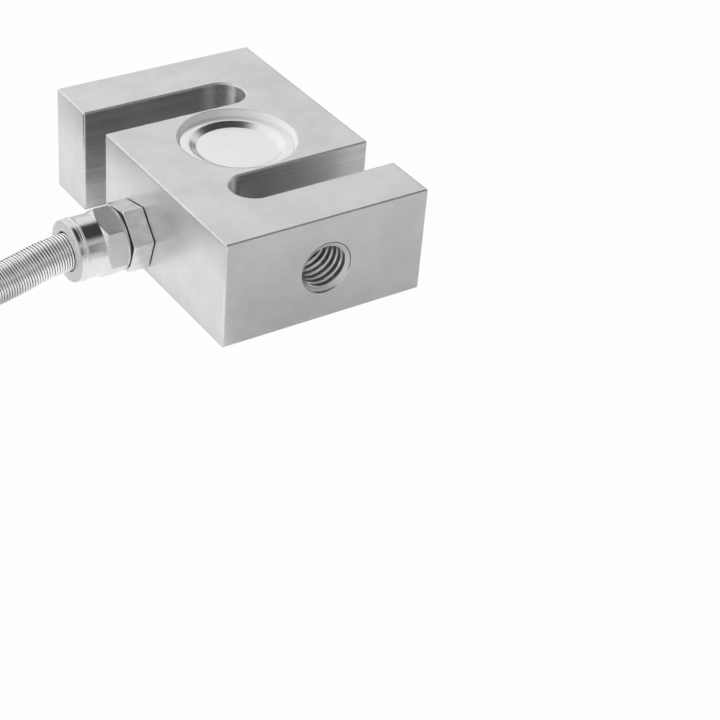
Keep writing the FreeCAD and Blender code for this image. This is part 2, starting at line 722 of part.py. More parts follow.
def coil_centre():
    """Return the coil's centre on the surface that the cell lies on."""
    return port_point(-COIL_CENTRE[0], COIL_CENTRE[1], 0)


def cable_coil():
    """Return the outer shape of the coiled spare cable."""
    coil = ring(COIL_OUTER_RADIUS, COIL_INNER_RADIUS, COIL_BOTTOM, COIL_TOP)
    corners = [
        edge
        for radius in (COIL_OUTER_RADIUS, COIL_INNER_RADIUS)
        for height in (COIL_BOTTOM, COIL_TOP)
        for edge in circle_edges(coil, radius, height)
    ]
    coil = coil.makeFillet(COIL_CORNER_RADIUS, corners)
    coil.translate(coil_centre())
    return first_solid(coil)


def cable_tie(angle, coil):
    """Return a strap round the coil's section, with its lock on top, resting on the same surface."""
    length = COIL_OUTER_RADIUS - COIL_INNER_RADIUS + 2 * TIE_THICKNESS
    height = COIL_TOP - COIL_BOTTOM + 2 * TIE_THICKNESS
    start = COIL_INNER_RADIUS - TIE_THICKNESS
    corner = Vector(start, -TIE_WIDTH / 2, COIL_BOTTOM - TIE_THICKNESS)
    strap = Part.makeBox(length, TIE_WIDTH, height, corner)
    along = [edge for edge in strap.Edges if edge.BoundBox.YLength > TIE_WIDTH - 1e-4]
    strap = strap.makeFillet(COIL_CORNER_RADIUS + TIE_THICKNESS / 2, along)
    head_length, head_width, head_height = TIE_HEAD
    head = Part.makeBox(
        head_length,
        head_width,
        head_height,
        Vector(COIL_OUTER_RADIUS - COIL_CORNER_RADIUS - head_length, -head_width / 2, COIL_TOP),
    )
    top_edges = [edge for edge in head.Edges if edge.BoundBox.ZMin > COIL_TOP + head_height / 2]
    head = head.makeChamfer(TIE_HEAD_CHAMFER, top_edges)
    tie = strap.fuse(head)
    tie.rotate(Vector(0, 0, 0), Vector(0, 0, 1), angle)
    tie.translate(coil_centre())
    return first_solid(tie.cut(coil).removeSplitter())


def cable_run(coil):
    """Return the cable from the gland to the coil's outer face, and the radii of its bends."""
    edges, radii = rounded_route([port_point(*point) for point in ROUTE])
    check_tube("cable_run", edges, swept_tube(edges, CABLE_RADIUS))
    return first_solid(swept_tube(edges, CABLE_RADIUS).cut(coil)), radii


def cable_tail(coil):
    """Return the cable's free end from the coil's outer face, and the radii of its bends."""
    edges, radii = rounded_route([port_point(*point) for point in TAIL])
    check_tube("cable_tail", edges, swept_tube(edges, CABLE_RADIUS))
    return first_solid(swept_tube(edges, CABLE_RADIUS).cut(coil)), radii


def check_tube(name, edges, tube):
    """Print how a tube's volume compares with its section times its length."""
    length = sum(edge.Length for edge in edges)
    expected = math.pi * CABLE_RADIUS**2 * length
    print(f"{name}: length {length:.1f} mm, volume {tube.Volume:.1f} of {expected:.1f} mm3")


def cable_end():
    """Return the placement at the jacket's end, with +Z along the cable and +X kept level."""
    before, end = (port_point(*point) for point in TAIL[-2:])
    along = (end - before).normalize()
    level = along.cross(Vector(0, 0, 1)).normalize()
    return Placement(end, Rotation(level, along.cross(level), along, "ZXY"))


def end_sleeve():
    """Return the shrunk sleeve over the end of the jacket and the root of the bare leads."""
    covered = SLEEVE_LENGTH - SLEEVE_OVERHANG
    outer = CABLE_RADIUS + SLEEVE_WALL
    inner = CABLE_RADIUS + SLEEVE_FIT
    throat = LEAD_SPREAD * math.sqrt(2) + LEAD_RADIUS + LEAD_FIT
    sleeve = turned_on_z(
        [
            (inner, -covered),
            (outer, -covered),
            (outer, SLEEVE_SHOULDER),
            (throat + SLEEVE_WALL, SLEEVE_NECK),
            (throat + SLEEVE_WALL, SLEEVE_OVERHANG),
            (throat, SLEEVE_OVERHANG),
            (throat, SLEEVE_FIT),
            (inner, SLEEVE_FIT),
        ]
    )
    sleeve.Placement = cable_end()
    return sleeve


def lead_points(name):
    """Return a bare lead's route at the cable's end, and the direction of its tip."""
    side, level, middle, tip = LEADS[name]
    first, second, last = LEAD_STEPS
    start = (side * LEAD_SPREAD, level * LEAD_SPREAD)
    points = [
        Vector(start[0], start[1], 0),
        Vector(start[0], start[1], first),
        Vector(start[0] + middle[0], start[1] + middle[1], second),
        Vector(start[0] + tip[0], tip[1], last),
    ]
    placement = cable_end()
    return [placement.multVec(point) for point in points]


def bare_lead(name):
    """Return one insulated core outside the jacket."""
    edges, _ = rounded_route(lead_points(name))
    return swept_tube(edges, LEAD_RADIUS)


def lead_tips():
    """Return the tinned ends of the four cores."""
    tips = []
    for name in LEADS:
        before, end = lead_points(name)[-2:]
        tips.append(Part.makeCylinder(TIP_RADIUS, TIP_LENGTH, end, end - before))
    return Part.makeCompound(tips)


# ---------------------------------------------------------------- the whole load cell
def build():
    """Return every piece of the load cell by its name."""
    coil = cable_coil()
    run, run_radii = cable_run(coil)
    tail, tail_radii = cable_tail(coil)
    print("bend radii, gland to coil:", [round(radius, 1) for radius in run_radii])
    print("bend radii, free end:", [round(radius, 1) for radius in tail_radii])
    pieces = {
        "s_body": s_body(),
        "upper_sealing_cup": onto_upper_face(sealing_cup()),
        "lower_sealing_cup": onto_lower_face(sealing_cup()),
        "upper_left_gauge": strain_gauge(1, -1),
        "upper_right_gauge": strain_gauge(1, 1),
        "lower_left_gauge": strain_gauge(-1, -1),
        "lower_right_gauge": strain_gauge(-1, 1),
        "upper_terminal_strip": terminal_strip(1),
        "lower_terminal_strip": terminal_strip(-1),
        "zero_trim_resistor": trim_resistor(-1),
        "span_trim_resistor": trim_resistor(1),
        "bridge_wires": bridge_wires(),
        "gauge_leads": gauge_leads(),
        "inner_leads": inner_leads(),
        "gland_gasket": gland_gasket(),
        "gland_body": gland_body(),
        "gland_o_ring": gland_o_ring(),
        "gland_seal": gland_seal(),
        "gland_nut": gland_nut(),
        "guard_collar": guard_collar(),
        "spring_guard": spring_guard(),
        "guard_ferrule": guard_ferrule(),
        "cable_entry": cable_entry(),
        "cable_run": run,
        "cable_coil": coil,
        "cable_tail": tail,
        "end_sleeve": end_sleeve(),
        "lead_tips": lead_tips(),
    }
    for number, angle in enumerate(TIE_ANGLES, start=1):
        pieces[f"cable_tie_{number}"] = cable_tie(angle, coil)
    for name in LEADS:
        pieces[name] = bare_lead(name)
    return pieces


os.makedirs("parts", exist_ok=True)
for node, shape in build().items():
    shape.exportStep(f"parts/{node}.step")
    print(f"{node}: {len(shape.Solids)} solid(s), {shape.Volume:.2f} mm3, valid {shape.isValid()}")
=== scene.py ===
import logging
import math
from dataclasses import dataclass, field
from enum import Enum
from functools import cache

import bmesh
import bpy
from mathutils import Matrix, Quaternion, Vector


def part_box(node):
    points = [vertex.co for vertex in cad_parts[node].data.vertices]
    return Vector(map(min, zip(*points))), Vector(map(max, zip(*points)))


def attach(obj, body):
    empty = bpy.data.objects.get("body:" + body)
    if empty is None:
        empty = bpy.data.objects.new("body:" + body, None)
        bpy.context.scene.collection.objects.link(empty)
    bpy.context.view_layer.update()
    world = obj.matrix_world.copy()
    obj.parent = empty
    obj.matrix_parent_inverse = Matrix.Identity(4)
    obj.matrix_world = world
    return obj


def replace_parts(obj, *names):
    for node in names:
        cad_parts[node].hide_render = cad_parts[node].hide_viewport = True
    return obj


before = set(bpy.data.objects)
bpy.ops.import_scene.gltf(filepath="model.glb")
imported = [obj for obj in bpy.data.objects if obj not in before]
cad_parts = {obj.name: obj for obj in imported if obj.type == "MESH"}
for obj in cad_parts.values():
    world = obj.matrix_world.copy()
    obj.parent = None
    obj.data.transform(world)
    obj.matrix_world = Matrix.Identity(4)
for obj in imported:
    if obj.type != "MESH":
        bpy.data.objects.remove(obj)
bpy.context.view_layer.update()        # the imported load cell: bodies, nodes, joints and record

# The looks of an S-type load cell: satin steel body, sealing cups, cable gland, spring guard and cable.
# Metres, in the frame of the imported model: X across the width, Y along the load axis, Z up.

LOG = logging.getLogger("load_cell")
BODY = "root"
MM = 0.001

Socket = bpy.types.NodeSocket
Sockets = bpy.types.bpy_prop_collection
Triple = tuple[float, float, float]
Colour = Triple

WHITE: Colour = (1.0, 1.0, 1.0)
# the dark colour of the painted shade in thread roots, bore depths and spring grooves
PAINTED_SHADE: Colour = (0.05, 0.05, 0.05)
DUST: Colour = (0.42, 0.41, 0.39)
GRID_FOIL: Colour = (0.6, 0.5, 0.38)
SOLDER: Colour = (0.7, 0.69, 0.67)
END_CAP: Colour = (0.6, 0.59, 0.57)

GRAIN_RANGE = (0.25, 0.75)         # the stretch of the grain's noise that roughness follows
FINE_GRAIN_RANGE = (0.2, 0.8)      # the same on the small sealed pieces
MOUTH_FADE = (0.6 * MM, 1.1 * MM)  # how far inside a bore's mouth the painted shade begins, and is full


def middle(node: str) -> Vector:
    """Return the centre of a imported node's box."""
    low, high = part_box(node)
    return (low + high) / 2


def held(share: float) -> float:
    """Return a share held between 0 and 1."""
    return min(1.0, max(0.0, share))


# ---------------------------------------------------------------- shader building
class Graph:
    """Adds the nodes of one shader tree and joins them."""

    def __init__(self, tree: bpy.types.NodeTree) -> None:
        """Keep the tree to add to."""
        self.tree = tree

    def node(self, kind: str, **settings: object) -> bpy.types.Node:
        """Add one node.

        Args:
            kind: Blender's name of the node's type, without its ShaderNode prefix.
            settings: properties to set on the node.

        Returns:
            The new node.
        """
        made = self.tree.nodes.new(f"ShaderNode{kind}")
        for name, value in settings.items():
            setattr(made, name, value)
        return made

    def feed(self, target: Socket, source: object) -> None:
        """Join a socket to the one that it reads, or give it its own value."""
        if isinstance(source, bpy.types.NodeSocket):
            self.tree.links.new(source, target)
        else:
            target.default_value = source

    def math(self, operation: str, *values: object, clamp: bool = False) -> Socket:
        """Return the result of a Math node fed with sockets or numbers."""
        made = self.node("Math", operation=operation, use_clamp=clamp)
        for target, value in zip(made.inputs, values):
            self.feed(target, value)
        return made.outputs[0]

    def vector(self, operation: str, *values: object) -> bpy.types.Node:
        """Return a Vector Math node fed with sockets or vectors."""
        made = self.node("VectorMath", operation=operation)
        for target, value in zip(made.inputs, values):
            self.feed(target, value)
        return made

    def scaled(self, source: Socket, scale: object) -> Socket:
        """Return a vector times a number."""
        made = self.node("VectorMath", operation="SCALE")
        self.feed(made.inputs[0], source)
        self.feed(made.inputs["Scale"], scale)
        return made.outputs[0]

    def axes(self, source: Socket) -> Sockets:
        """Return a vector's three parts, which go by the names X, Y and Z."""
        made = self.node("SeparateXYZ")
        self.feed(made.inputs[0], source)
        return made.outputs

    def hypot(self, first: Socket, second: Socket) -> Socket:
        """Return how long a line is that goes so far one way and so far at right angles to it."""
        square = self.math("ADD", self.math("POWER", first, 2.0), self.math("POWER", second, 2.0))
        return self.math("SQRT", square)

    def within(self, value: Socket, limit: float) -> Socket:
        """Return 1 where a value is closer to zero than a limit, and 0 elsewhere."""
        return self.math("LESS_THAN", self.math("ABSOLUTE", value), limit)

    def beyond(self, value: Socket, limit: float) -> Socket:
        """Return 1 where a value is further from zero than a limit, and 0 elsewhere."""
        return self.math("GREATER_THAN", self.math("ABSOLUTE", value), limit)

    def product(self, first: object, *others: object) -> Socket:
        """Return the product of sockets and numbers."""
        for other in others:
            first = self.math("MULTIPLY", first, other)
        return first

    def choose(self, mask: Socket, inside: float, outside: float) -> Socket:
        """Return a number that goes from outside to inside as a mask goes from 0 to 1."""
        return self.math("MULTIPLY_ADD", mask, inside - outside, outside)

    def noise(self, source: Socket, scale: float = 1.0, detail: float = 2.0) -> Socket:
        """Return the value of a Noise texture read at a vector."""
        made = self.node("TexNoise")
        self.fill(made, Vector=source, Scale=scale, Detail=detail)
        return made.outputs[0]

    def span(
        self, value: Socket, start: object, end: object, low: object = 0.0, high: object = 1.0
    ) -> Socket:
        """Return a value carried smoothly from start..end over to low..high, and held there outside."""
        made = self.node("MapRange", interpolation_type="SMOOTHSTEP")
        names = ("Value", "From Min", "From Max", "To Min", "To Max")
        for name, given in zip(names, (value, start, end, low, high)):
            self.feed(made.inputs[name], given)
        return made.outputs[0]

    def mix(self, share: object, first: object, second: object, blend: str = "MIX") -> Socket:
        """Return two colours mixed by a share."""
        made = self.node("Mix", data_type="RGBA", blend_type=blend)
        for target, given in zip((made.inputs[0], made.inputs[6], made.inputs[7]), (share, first, second)):
            self.feed(target, given)
        return made.outputs[2]

    def mix_shaders(self, share: Socket, first: Socket, second: Socket) -> Socket:
        """Return two shaders mixed by a share."""
        made = self.node("MixShader")
        for target, given in zip(made.inputs, (share, first, second)):
            self.feed(target, given)
        return made.outputs[0]

    def fill(self, node: bpy.types.Node, **inputs: object) -> None:
        """Feed a node's inputs, given by name with underscores for spaces."""
        for name, value in inputs.items():
            self.feed(node.inputs[name.replace("_", " ")], value)

    def effect(self, group: bpy.types.NodeTree, **inputs: object) -> Sockets:
        """Place a shared effect group, fill its inputs and return what it puts out."""
        made = self.node("Group", node_tree=group)
        self.fill(made, **inputs)
        return made.outputs


def rgba(colour: Colour) -> tuple[float, float, float, float]:
    """Return a colour with full alpha."""
    return (*colour, 1.0)


def shade(colour: Colour, times: float) -> Colour:
    """Return a colour made darker or lighter."""
    return tuple(min(1.0, channel * times) for channel in colour)


# ---------------------------------------------------------------- shared effects
class EffectGroup(Graph):
    """A shader node group under construction, with named inputs and outputs."""

    def __init__(self, name: str, outputs: tuple[str, ...], **inputs: float) -> None:
        """Make the group and its sockets.

        Args:
            name: the group's name.
            outputs: the names of the values that it puts out.
            inputs: each input's default by name, with underscores for spaces; a vector comes before them.
        """
        super().__init__(bpy.data.node_groups.new(name, "ShaderNodeTree"))
        self.add_socket("Vector", "INPUT", "NodeSocketVector")
        for label, default in inputs.items():
            self.add_socket(label.replace("_", " "), "INPUT", "NodeSocketFloat").default_value = default
        for label in outputs:
            self.add_socket(label, "OUTPUT", "NodeSocketFloat")
        self.given = self.tree.nodes.new("NodeGroupInput").outputs
        self.result = self.tree.nodes.new("NodeGroupOutput")

    def add_socket(self, label: str, side: str, kind: str) -> bpy.types.NodeTreeInterfaceSocket:
        """Return a new socket on one side of the group."""
        return self.tree.interface.new_socket(label, in_out=side, socket_type=kind)

    def pattern(self, scale: str, detail: float, times: float = 1.0) -> Socket:
        """Return noise over the group's vector, at the scale that the input of that name gives."""
        return self.noise(self.scaled(self.given["Vector"], self.given[scale]), times, detail)

    def facing(self, direction: object) -> Socket:
        """Return how far the surface faces a direction, from -1 to 1."""
        flat = self.node("NewGeometry").outputs["Normal"]
        return self.vector("DOT_PRODUCT", direction, flat).outputs["Value"]

    def put_out(self, **results: Socket) -> bpy.types.NodeTree:
        """Feed the group's outputs, given by name, and return the finished group."""
        self.fill(self.result, **results)
        return self.tree


@cache
def satin_grain() -> bpy.types.NodeTree:
    """Return the group that gives a ground surface its fine grain and its faint clouds."""
    group = EffectGroup("satin_grain", ("Grain", "Cloud"), Grain_Scale=3000.0, Cloud_Scale=60.0)
    fine = group.pattern("Grain Scale", 3.0)
    wide, patch = group.pattern("Cloud Scale", 2.0), group.pattern("Cloud Scale", 3.0, 3.7)
    cloud = group.math("ADD", group.math("MULTIPLY", wide, 0.65), group.math("MULTIPLY", patch, 0.35))
    return group.put_out(Grain=fine, Cloud=group.span(cloud, 0.32, 0.68))


@cache
def tool_marks() -> bpy.types.NodeTree:
    """Return the group for the streaks that a cutter or a lathe leaves along one direction."""
    group = EffectGroup("tool_marks", ("Streaks",), Fine=1.0, Coarse=0.25)
    fine, coarse = group.pattern("Fine", 2.0), group.pattern("Coarse", 1.0)
    streaks = group.math("ADD", group.math("MULTIPLY", fine, 0.55), group.math("MULTIPLY", coarse, 0.45))
    return group.put_out(Streaks=group.span(streaks, 0.3, 0.7))


@cache
def edge_wear_and_highlight() -> bpy.types.NodeTree:
    """Return the group that finds edges: handling has polished them, and the finishes lighten them there as
    a painted highlight.
    """
    group = EffectGroup("edge_wear_and_highlight", ("Mask",), Radius=0.0004, Breakup_Scale=500.0)
    rounded = group.node("Bevel", samples=6)
    group.fill(rounded, Radius=group.given["Radius"])
    near = group.span(group.facing(rounded.outputs[0]), 0.995, 0.9)
    broken = group.span(group.pattern("Breakup Scale", 2.0), 0.25, 0.6)
    return group.put_out(Mask=group.math("MULTIPLY", near, broken, clamp=True))


@cache
def settled_dust() -> bpy.types.NodeTree:
    """Return the group for the dust that settles in patches on what faces up."""
    group = EffectGroup("settled_dust", ("Mask",), Amount=0.2, Patch_Scale=120.0)
    upward = group.span(group.facing((0.0, 0.0, 1.0)), 0.1, 0.9)
    cover = group.math("MULTIPLY", upward, group.span(group.pattern("Patch Scale", 4.0), 0.35, 0.7))
    return group.put_out(Mask=group.math("MULTIPLY", cover, group.given["Amount"], clamp=True))


@cache
def thread_shade() -> bpy.types.NodeTree:
    """Return the group for the painted shade down in the roots of a thread along Y, past its mouth."""
    group = EffectGroup(
        "thread_shade", ("Mask", "Depth"), Axis_Height=0.0127, Clean_Radius=0.0, Dirty_Radius=0.001,
        Mouth=0.0381, Breakup_Scale=900.0,
    )
    axes = group.axes(group.given["Vector"])
    radius = group.hypot(axes["X"], group.math("SUBTRACT", axes["Z"], group.given["Axis Height"]))
    inside = group.math("SUBTRACT", group.given["Mouth"], group.math("ABSOLUTE", axes["Y"]))
    deep = group.span(inside, *MOUTH_FADE)
    darkened = group.span(radius, group.given["Clean Radius"], group.given["Dirty Radius"])
    patchy = group.span(group.pattern("Breakup Scale", 3.0), 0.2, 0.5, 0.7, 1.0)
    mask = group.math("MULTIPLY", group.math("MULTIPLY", darkened, deep), patchy, clamp=True)
    return group.put_out(Mask=mask, Depth=deep)


# ---------------------------------------------------------------- finishes
class Marks(Enum):
    """How a metal surface was last cut, as its object-space scale per metre along X, Y and Z."""

    NONE = None
    TURNED = (9000.0, 60.0, 60.0)
    MILLED = (25.0, 25.0, 2200.0)


class Surface(Graph):
    """The shader graph of one material, with its Principled shader and its object coordinates."""

    def __init__(self, name: str) -> None:
        """Begin the material of the given name."""
        self.material = bpy.data.materials.new(name)
        self.material.use_nodes = True
        super().__init__(self.material.node_tree)
        self.shader = self.tree.nodes["Principled BSDF"]
        self.point = self.node("TexCoord").outputs["Object"]

    def effect(self, group: bpy.types.NodeTree, **inputs: object) -> Sockets:
        """Place a shared effect group, which reads the object coordinates unless it is told otherwise."""
        return super().effect(group, **{"Vector": self.point, **inputs})

    def raise_grain(self, height: Socket, depth: float, edge_radius: float = 0.0) -> None:
        """Feed a height through a Bump node into the shader's normal.

        Args:
            height: the height to raise.
            depth: how far it is raised at most.
            edge_radius: how wide the light runs round each edge; 0 leaves the edges sharp.
        """
        bump = self.node("Bump")
        if edge_radius > 0:
            rounded = self.node("Bevel", samples=8)
            self.fill(rounded, Radius=edge_radius)
            self.fill(bump, Normal=rounded.outputs[0])
        self.fill(bump, Distance=depth, Strength=1.0, Height=height)
        self.fill(self.shader, Normal=bump.outputs[0])


@dataclass(frozen=True)
class Finish:
    """A surface finish: what every material of the load cell has."""

    name: str
    colour: Colour
    roughness: float
    grain_scale: float = 3000.0
    grain_depth: float = 0.02 * MM

    def material(self) -> bpy.types.Material:
        """Return the finish's material, made when it is first asked for."""
        label = f"finish_{self.name}"
        known = bpy.data.materials.get(label)
        if known:
            return known
        surface = Surface(label)
        self.cover(surface)
        return surface.material

    def clouded(self, surface: Surface, cloud: Socket, dark: float, light: float) -> Socket:
        """Return the colour, which goes from dark to light times its own as the clouds grow."""
        return surface.mix(cloud, rgba(shade(self.colour, dark)), rgba(shade(self.colour, light)))

    def speckled(self, surface: Surface, grain: Socket, spread: float) -> Socket:
        """Return the roughness, which the grain spreads about its own value."""
        low, high = self.roughness - spread / 2, self.roughness + spread / 2
        return surface.span(grain, *GRAIN_RANGE, low, high)

    def roughen(self, surface: Surface, grain: Socket, spread: float) -> None:
        """Feed a small sealed piece's roughness, which grows with its grain by a spread."""
        rough = surface.span(grain, *FINE_GRAIN_RANGE, self.roughness, self.roughness + spread)
        surface.fill(surface.shader, Roughness=rough)

    def cover(self, surface: Surface) -> None:
        """Build the surface's shader; each kind of finish has its own way."""
        raise NotImplementedError


@dataclass(frozen=True)
class MetalFinish(Finish):
    """Bare or plated metal with grain, clouds, tool marks, and polished edges lightened by a painted
    highlight.
    """

    cloud_scale: float = 60.0
    cloud_depth: float = 0.05
    roughness_spread: float = 0.08
    wear_radius: float = 0.3 * MM
    wear: float = 0.5
    # how much lighter the worn edges are: a painted highlight along every edge
    wear_highlight_shade: float = 1.18
    wear_polish: float = 0.5
    marks: Marks = Marks.NONE
    marks_depth: float = 0.01 * MM
    marks_shade: float = 0.36
    edge_radius: float = 0.0
    shaded_roughness: float = 0.25

    def marks_mask(self, surface: Surface) -> object:
        """Return where the tool marks show, which is everywhere on most pieces."""
        return 1.0

    def painted_shade_mask(self, surface: Surface) -> object:
        """Return where shade is painted, which is nowhere on most pieces."""
        return None

    def zoned(self, surface: Surface, colour: Socket, roughness: Socket) -> tuple[Socket, Socket]:
        """Return the colour and the roughness, which are the same all over most pieces."""
        return colour, roughness

    def lustre(self, surface: Surface) -> object:
        """Return how metallic the surface looks, which is fully on most pieces."""
        return 1.0

    def cover(self, surface: Surface) -> None:
        """Build the metal's shader."""
        grain = surface.effect(
            satin_grain(), Grain_Scale=self.grain_scale, Cloud_Scale=self.cloud_scale
        )
        colour = self.clouded(surface, grain["Cloud"], 1 - self.cloud_depth, 1 + self.cloud_depth)
        roughness = self.speckled(surface, grain["Grain"], self.roughness_spread)
        height = grain["Grain"]
        if self.marks is not Marks.NONE:
            mapping = surface.node("Mapping")
            surface.fill(mapping, Vector=surface.point, Scale=self.marks.value)
            streaks = surface.effect(tool_marks(), Vector=mapping.outputs[0])["Streaks"]
            mask = self.marks_mask(surface)
            shown = surface.math("MULTIPLY", mask, surface.math("SUBTRACT", 1.0, streaks))
            colour = surface.mix(shown, colour, rgba(shade(self.colour, 1 - self.marks_shade)))
            depth = self.marks_depth / self.grain_depth
            cut = surface.math("MULTIPLY", mask, surface.math("MULTIPLY", streaks, depth))
            height = surface.math("ADD", height, cut)
        # Edges: polished, and lightened by a painted highlight.
        worn_and_lit = surface.effect(edge_wear_and_highlight(), Radius=self.wear_radius)["Mask"]
        share = surface.math("MULTIPLY", worn_and_lit, self.wear)
        colour = surface.mix(share, colour, rgba(shade(self.colour, self.wear_highlight_shade)))
        polished = surface.math("MULTIPLY", share, -self.wear_polish * self.roughness)
        colour, roughness = self.zoned(surface, colour, roughness)
        roughness = surface.math("ADD", roughness, polished, clamp=True)
        # Painted shade: the finish's mask mixes in a dark colour and more roughness.
        shadowed = self.painted_shade_mask(surface)
        if shadowed is not None:
            colour = surface.mix(shadowed, colour, rgba(PAINTED_SHADE))
            duller = surface.math("MULTIPLY", shadowed, self.shaded_roughness)
            roughness = surface.math("ADD", roughness, duller, clamp=True)
        surface.fill(surface.shader, Base_Color=colour, Roughness=roughness, Metallic=self.lustre(surface))
        surface.raise_grain(height, self.grain_depth, self.edge_radius)


@dataclass(frozen=True)
class SlottedSteel(MetalFinish):
    """The body's steel: ground outside, with cutter marks on the walls of its two slots only."""

    slot_inner: float = 14.2 * MM
    slot_outer: float = 25.0 * MM
    bore_radius: float = 6.08 * MM
    recess_radius: float = 13.6 * MM
    # the recesses' walls are painted lighter: a painted highlight
    recess_highlight_colour: Colour = (0.95, 0.95, 0.95)
    recess_roughness: float = 0.5
    recess_lustre: float = 0.3
    mid_height: float = 12.7 * MM
    face_height: float = 12.66 * MM
    side_face: float = 25.3 * MM
    level_limit: float = 0.5
    shade_ease: float = 0.1 * MM
    shade_share: float = 0.9

    def marks_mask(self, surface: Surface) -> Socket:
        """Return 1 on the slots' walls, found by their distance from the middle and by facing sideways."""
        axes = surface.axes(surface.point)
        facing = surface.axes(surface.node("NewGeometry").outputs["Normal"])
        return surface.product(
            surface.beyond(axes["Y"], self.slot_inner), surface.within(axes["Y"], self.slot_outer),
            surface.within(facing["Z"], self.level_limit), surface.within(axes["X"], self.side_face),
        )

    def recess_mask(self, surface: Surface) -> Socket:
        """Return 1 on the walls of the two recesses, which carry a painted highlight."""
        axes = surface.axes(surface.point)
        height = surface.math("SUBTRACT", axes["Z"], self.mid_height)
        inside = surface.within(surface.hypot(axes["X"], axes["Y"]), self.recess_radius)
        return surface.product(inside, surface.within(height, self.face_height))

    def zoned(self, surface: Surface, colour: Socket, roughness: Socket) -> tuple[Socket, Socket]:
        """Return the colour and the roughness: duller on the recesses' walls, and lighter there as a painted
        highlight.
        """
        turned = self.recess_mask(surface)
        duller = self.recess_roughness - self.roughness
        # lighter colour on the recess walls: a painted highlight
        colour = surface.mix(turned, colour, rgba(self.recess_highlight_colour))
        return colour, surface.math("MULTIPLY_ADD", turned, duller, roughness)

    def lustre(self, surface: Surface) -> Socket:
        """Return how metallic the surface looks: less so on the recesses' matt walls, which carry the
        painted highlight.
        """
        return surface.choose(self.recess_mask(surface), self.recess_lustre, 1.0)

    def painted_shade_mask(self, surface: Surface) -> Socket:
        """Return 1 inside the two load bores, between the ridges of their threads, where shade is painted
        from just past the mouth inwards.
        """
        shadowed = surface.effect(
            thread_shade(), Clean_Radius=self.bore_radius, Dirty_Radius=self.bore_radius - self.shade_ease
        )["Mask"]
        in_arm = surface.beyond(surface.axes(surface.point)["Y"], self.slot_outer)
        return surface.product(shadowed, in_arm, self.shade_share)


@dataclass(frozen=True)
class ThreadSteel(MetalFinish):
    """The cut thread's steel: bright crests, roots darkened by painted shade and a duller mouth."""

    crest_radius: float = 5.13 * MM
    root_radius: float = 5.5 * MM
    rim_radius: float = 6.0 * MM
    rim_ease: float = 0.1 * MM
    rim_mouth: float = 40.0 * MM
    mouth_colour: Colour = (0.8, 0.8, 0.8)
    mouth_roughness: float = 0.5
    shade_share: float = 0.85

    def zoned(self, surface: Surface, colour: Socket, roughness: Socket) -> tuple[Socket, Socket]:
        """Return the colour and the roughness, which run from the mouth's to the crests'."""
        deep = surface.effect(thread_shade())["Depth"]
        duller = surface.span(deep, 0.0, 1.0, self.mouth_roughness - self.roughness, 0.0)
        return surface.mix(deep, rgba(self.mouth_colour), colour), surface.math("ADD", roughness, duller)

    def painted_shade_mask(self, surface: Surface) -> Socket:
        """Return 1 down in the roots, as painted shade, and along the mouth's rim, as a painted shadow line.
        """
        roots = surface.effect(
            thread_shade(), Clean_Radius=self.crest_radius, Dirty_Radius=self.root_radius
        )["Mask"]
        rim = surface.effect(
            thread_shade(), Clean_Radius=self.rim_radius,
            Dirty_Radius=self.rim_radius + self.rim_ease, Mouth=self.rim_mouth,
        )["Mask"]
        return surface.math("MULTIPLY", surface.math("MAXIMUM", roots, rim), self.shade_share)


@dataclass(frozen=True)
class GroovedSteel(MetalFinish):
    """A close-wound spring's steel, with painted shade in the grooves between its turns."""

    groove: float = 0.3 * MM
    sheltered: float = 0.4
    open_air: float = 0.85
    shade_share: float = 0.9

    def painted_shade_mask(self, surface: Surface) -> Socket:
        """Return 1 deep in the grooves, where shade is painted, found by how much of the open air the
        surface sees.
        """
        shelter = surface.node("AmbientOcclusion", samples=8)
        surface.fill(shelter, Distance=self.groove)
        return surface.span(shelter.outputs["AO"], self.sheltered, self.open_air, self.shade_share, 0.0)


@dataclass(frozen=True)
class NutPlate(MetalFinish):
    """Plating over a nut whose wrench flats and end face are matt and whose round cap is polished."""

    matt_roughness: float = 0.34
    end_lustre: float = 0.35
    cap_start: float = -36.1 * MM
    cap_end: float = -42.5 * MM
    ease: float = 0.15 * MM

    def zoned(self, surface: Surface, colour: Socket, roughness: Socket) -> tuple[Socket, Socket]:
        """Return the colour, and the roughness: polished on the cap, matt before and past it."""
        flats = self.past(surface, self.cap_start, 1)
        matt = surface.math("ADD", flats, self.past(surface, self.cap_end, -1))
        return colour, surface.math("MULTIPLY_ADD", matt, self.matt_roughness - self.roughness, roughness)

    def lustre(self, surface: Surface) -> Socket:
        """Return how metallic the surface looks: less so on the matt end face."""
        return surface.choose(self.past(surface, self.cap_end, -1), self.end_lustre, 1.0)

    def past(self, surface: Surface, place: float, way: int) -> Socket:
        """Return 1 past a place on the nut's axis, towards +X (way 1) or -X (way -1)."""
        reach = way * self.ease
        return surface.span(surface.axes(surface.point)["X"], place - reach, place + reach)


@dataclass(frozen=True)
class PlasticFinish(Finish):
    """Moulded or extruded plastic or rubber, with fine grain and settled dust."""

    dust: float = 0.15
    mottle: float = 0.06
    cloud_scale: float = 90.0
    roughness_spread: float = 0.1

    def cover(self, surface: Surface) -> None:
        """Build the plastic's shader."""
        grain = surface.effect(
            satin_grain(), Grain_Scale=self.grain_scale, Cloud_Scale=self.cloud_scale
        )
        colour = self.clouded(surface, grain["Cloud"], 1 - self.mottle, 1 + self.mottle)
        dust = surface.effect(settled_dust(), Amount=self.dust)["Mask"]
        roughness = self.speckled(surface, grain["Grain"], self.roughness_spread)
        colour = surface.mix(dust, colour, rgba(DUST))
        roughness = surface.math("ADD", roughness, dust, clamp=True)
        surface.fill(surface.shader, Base_Color=colour, Roughness=roughness)
        surface.raise_grain(grain["Grain"], self.grain_depth)


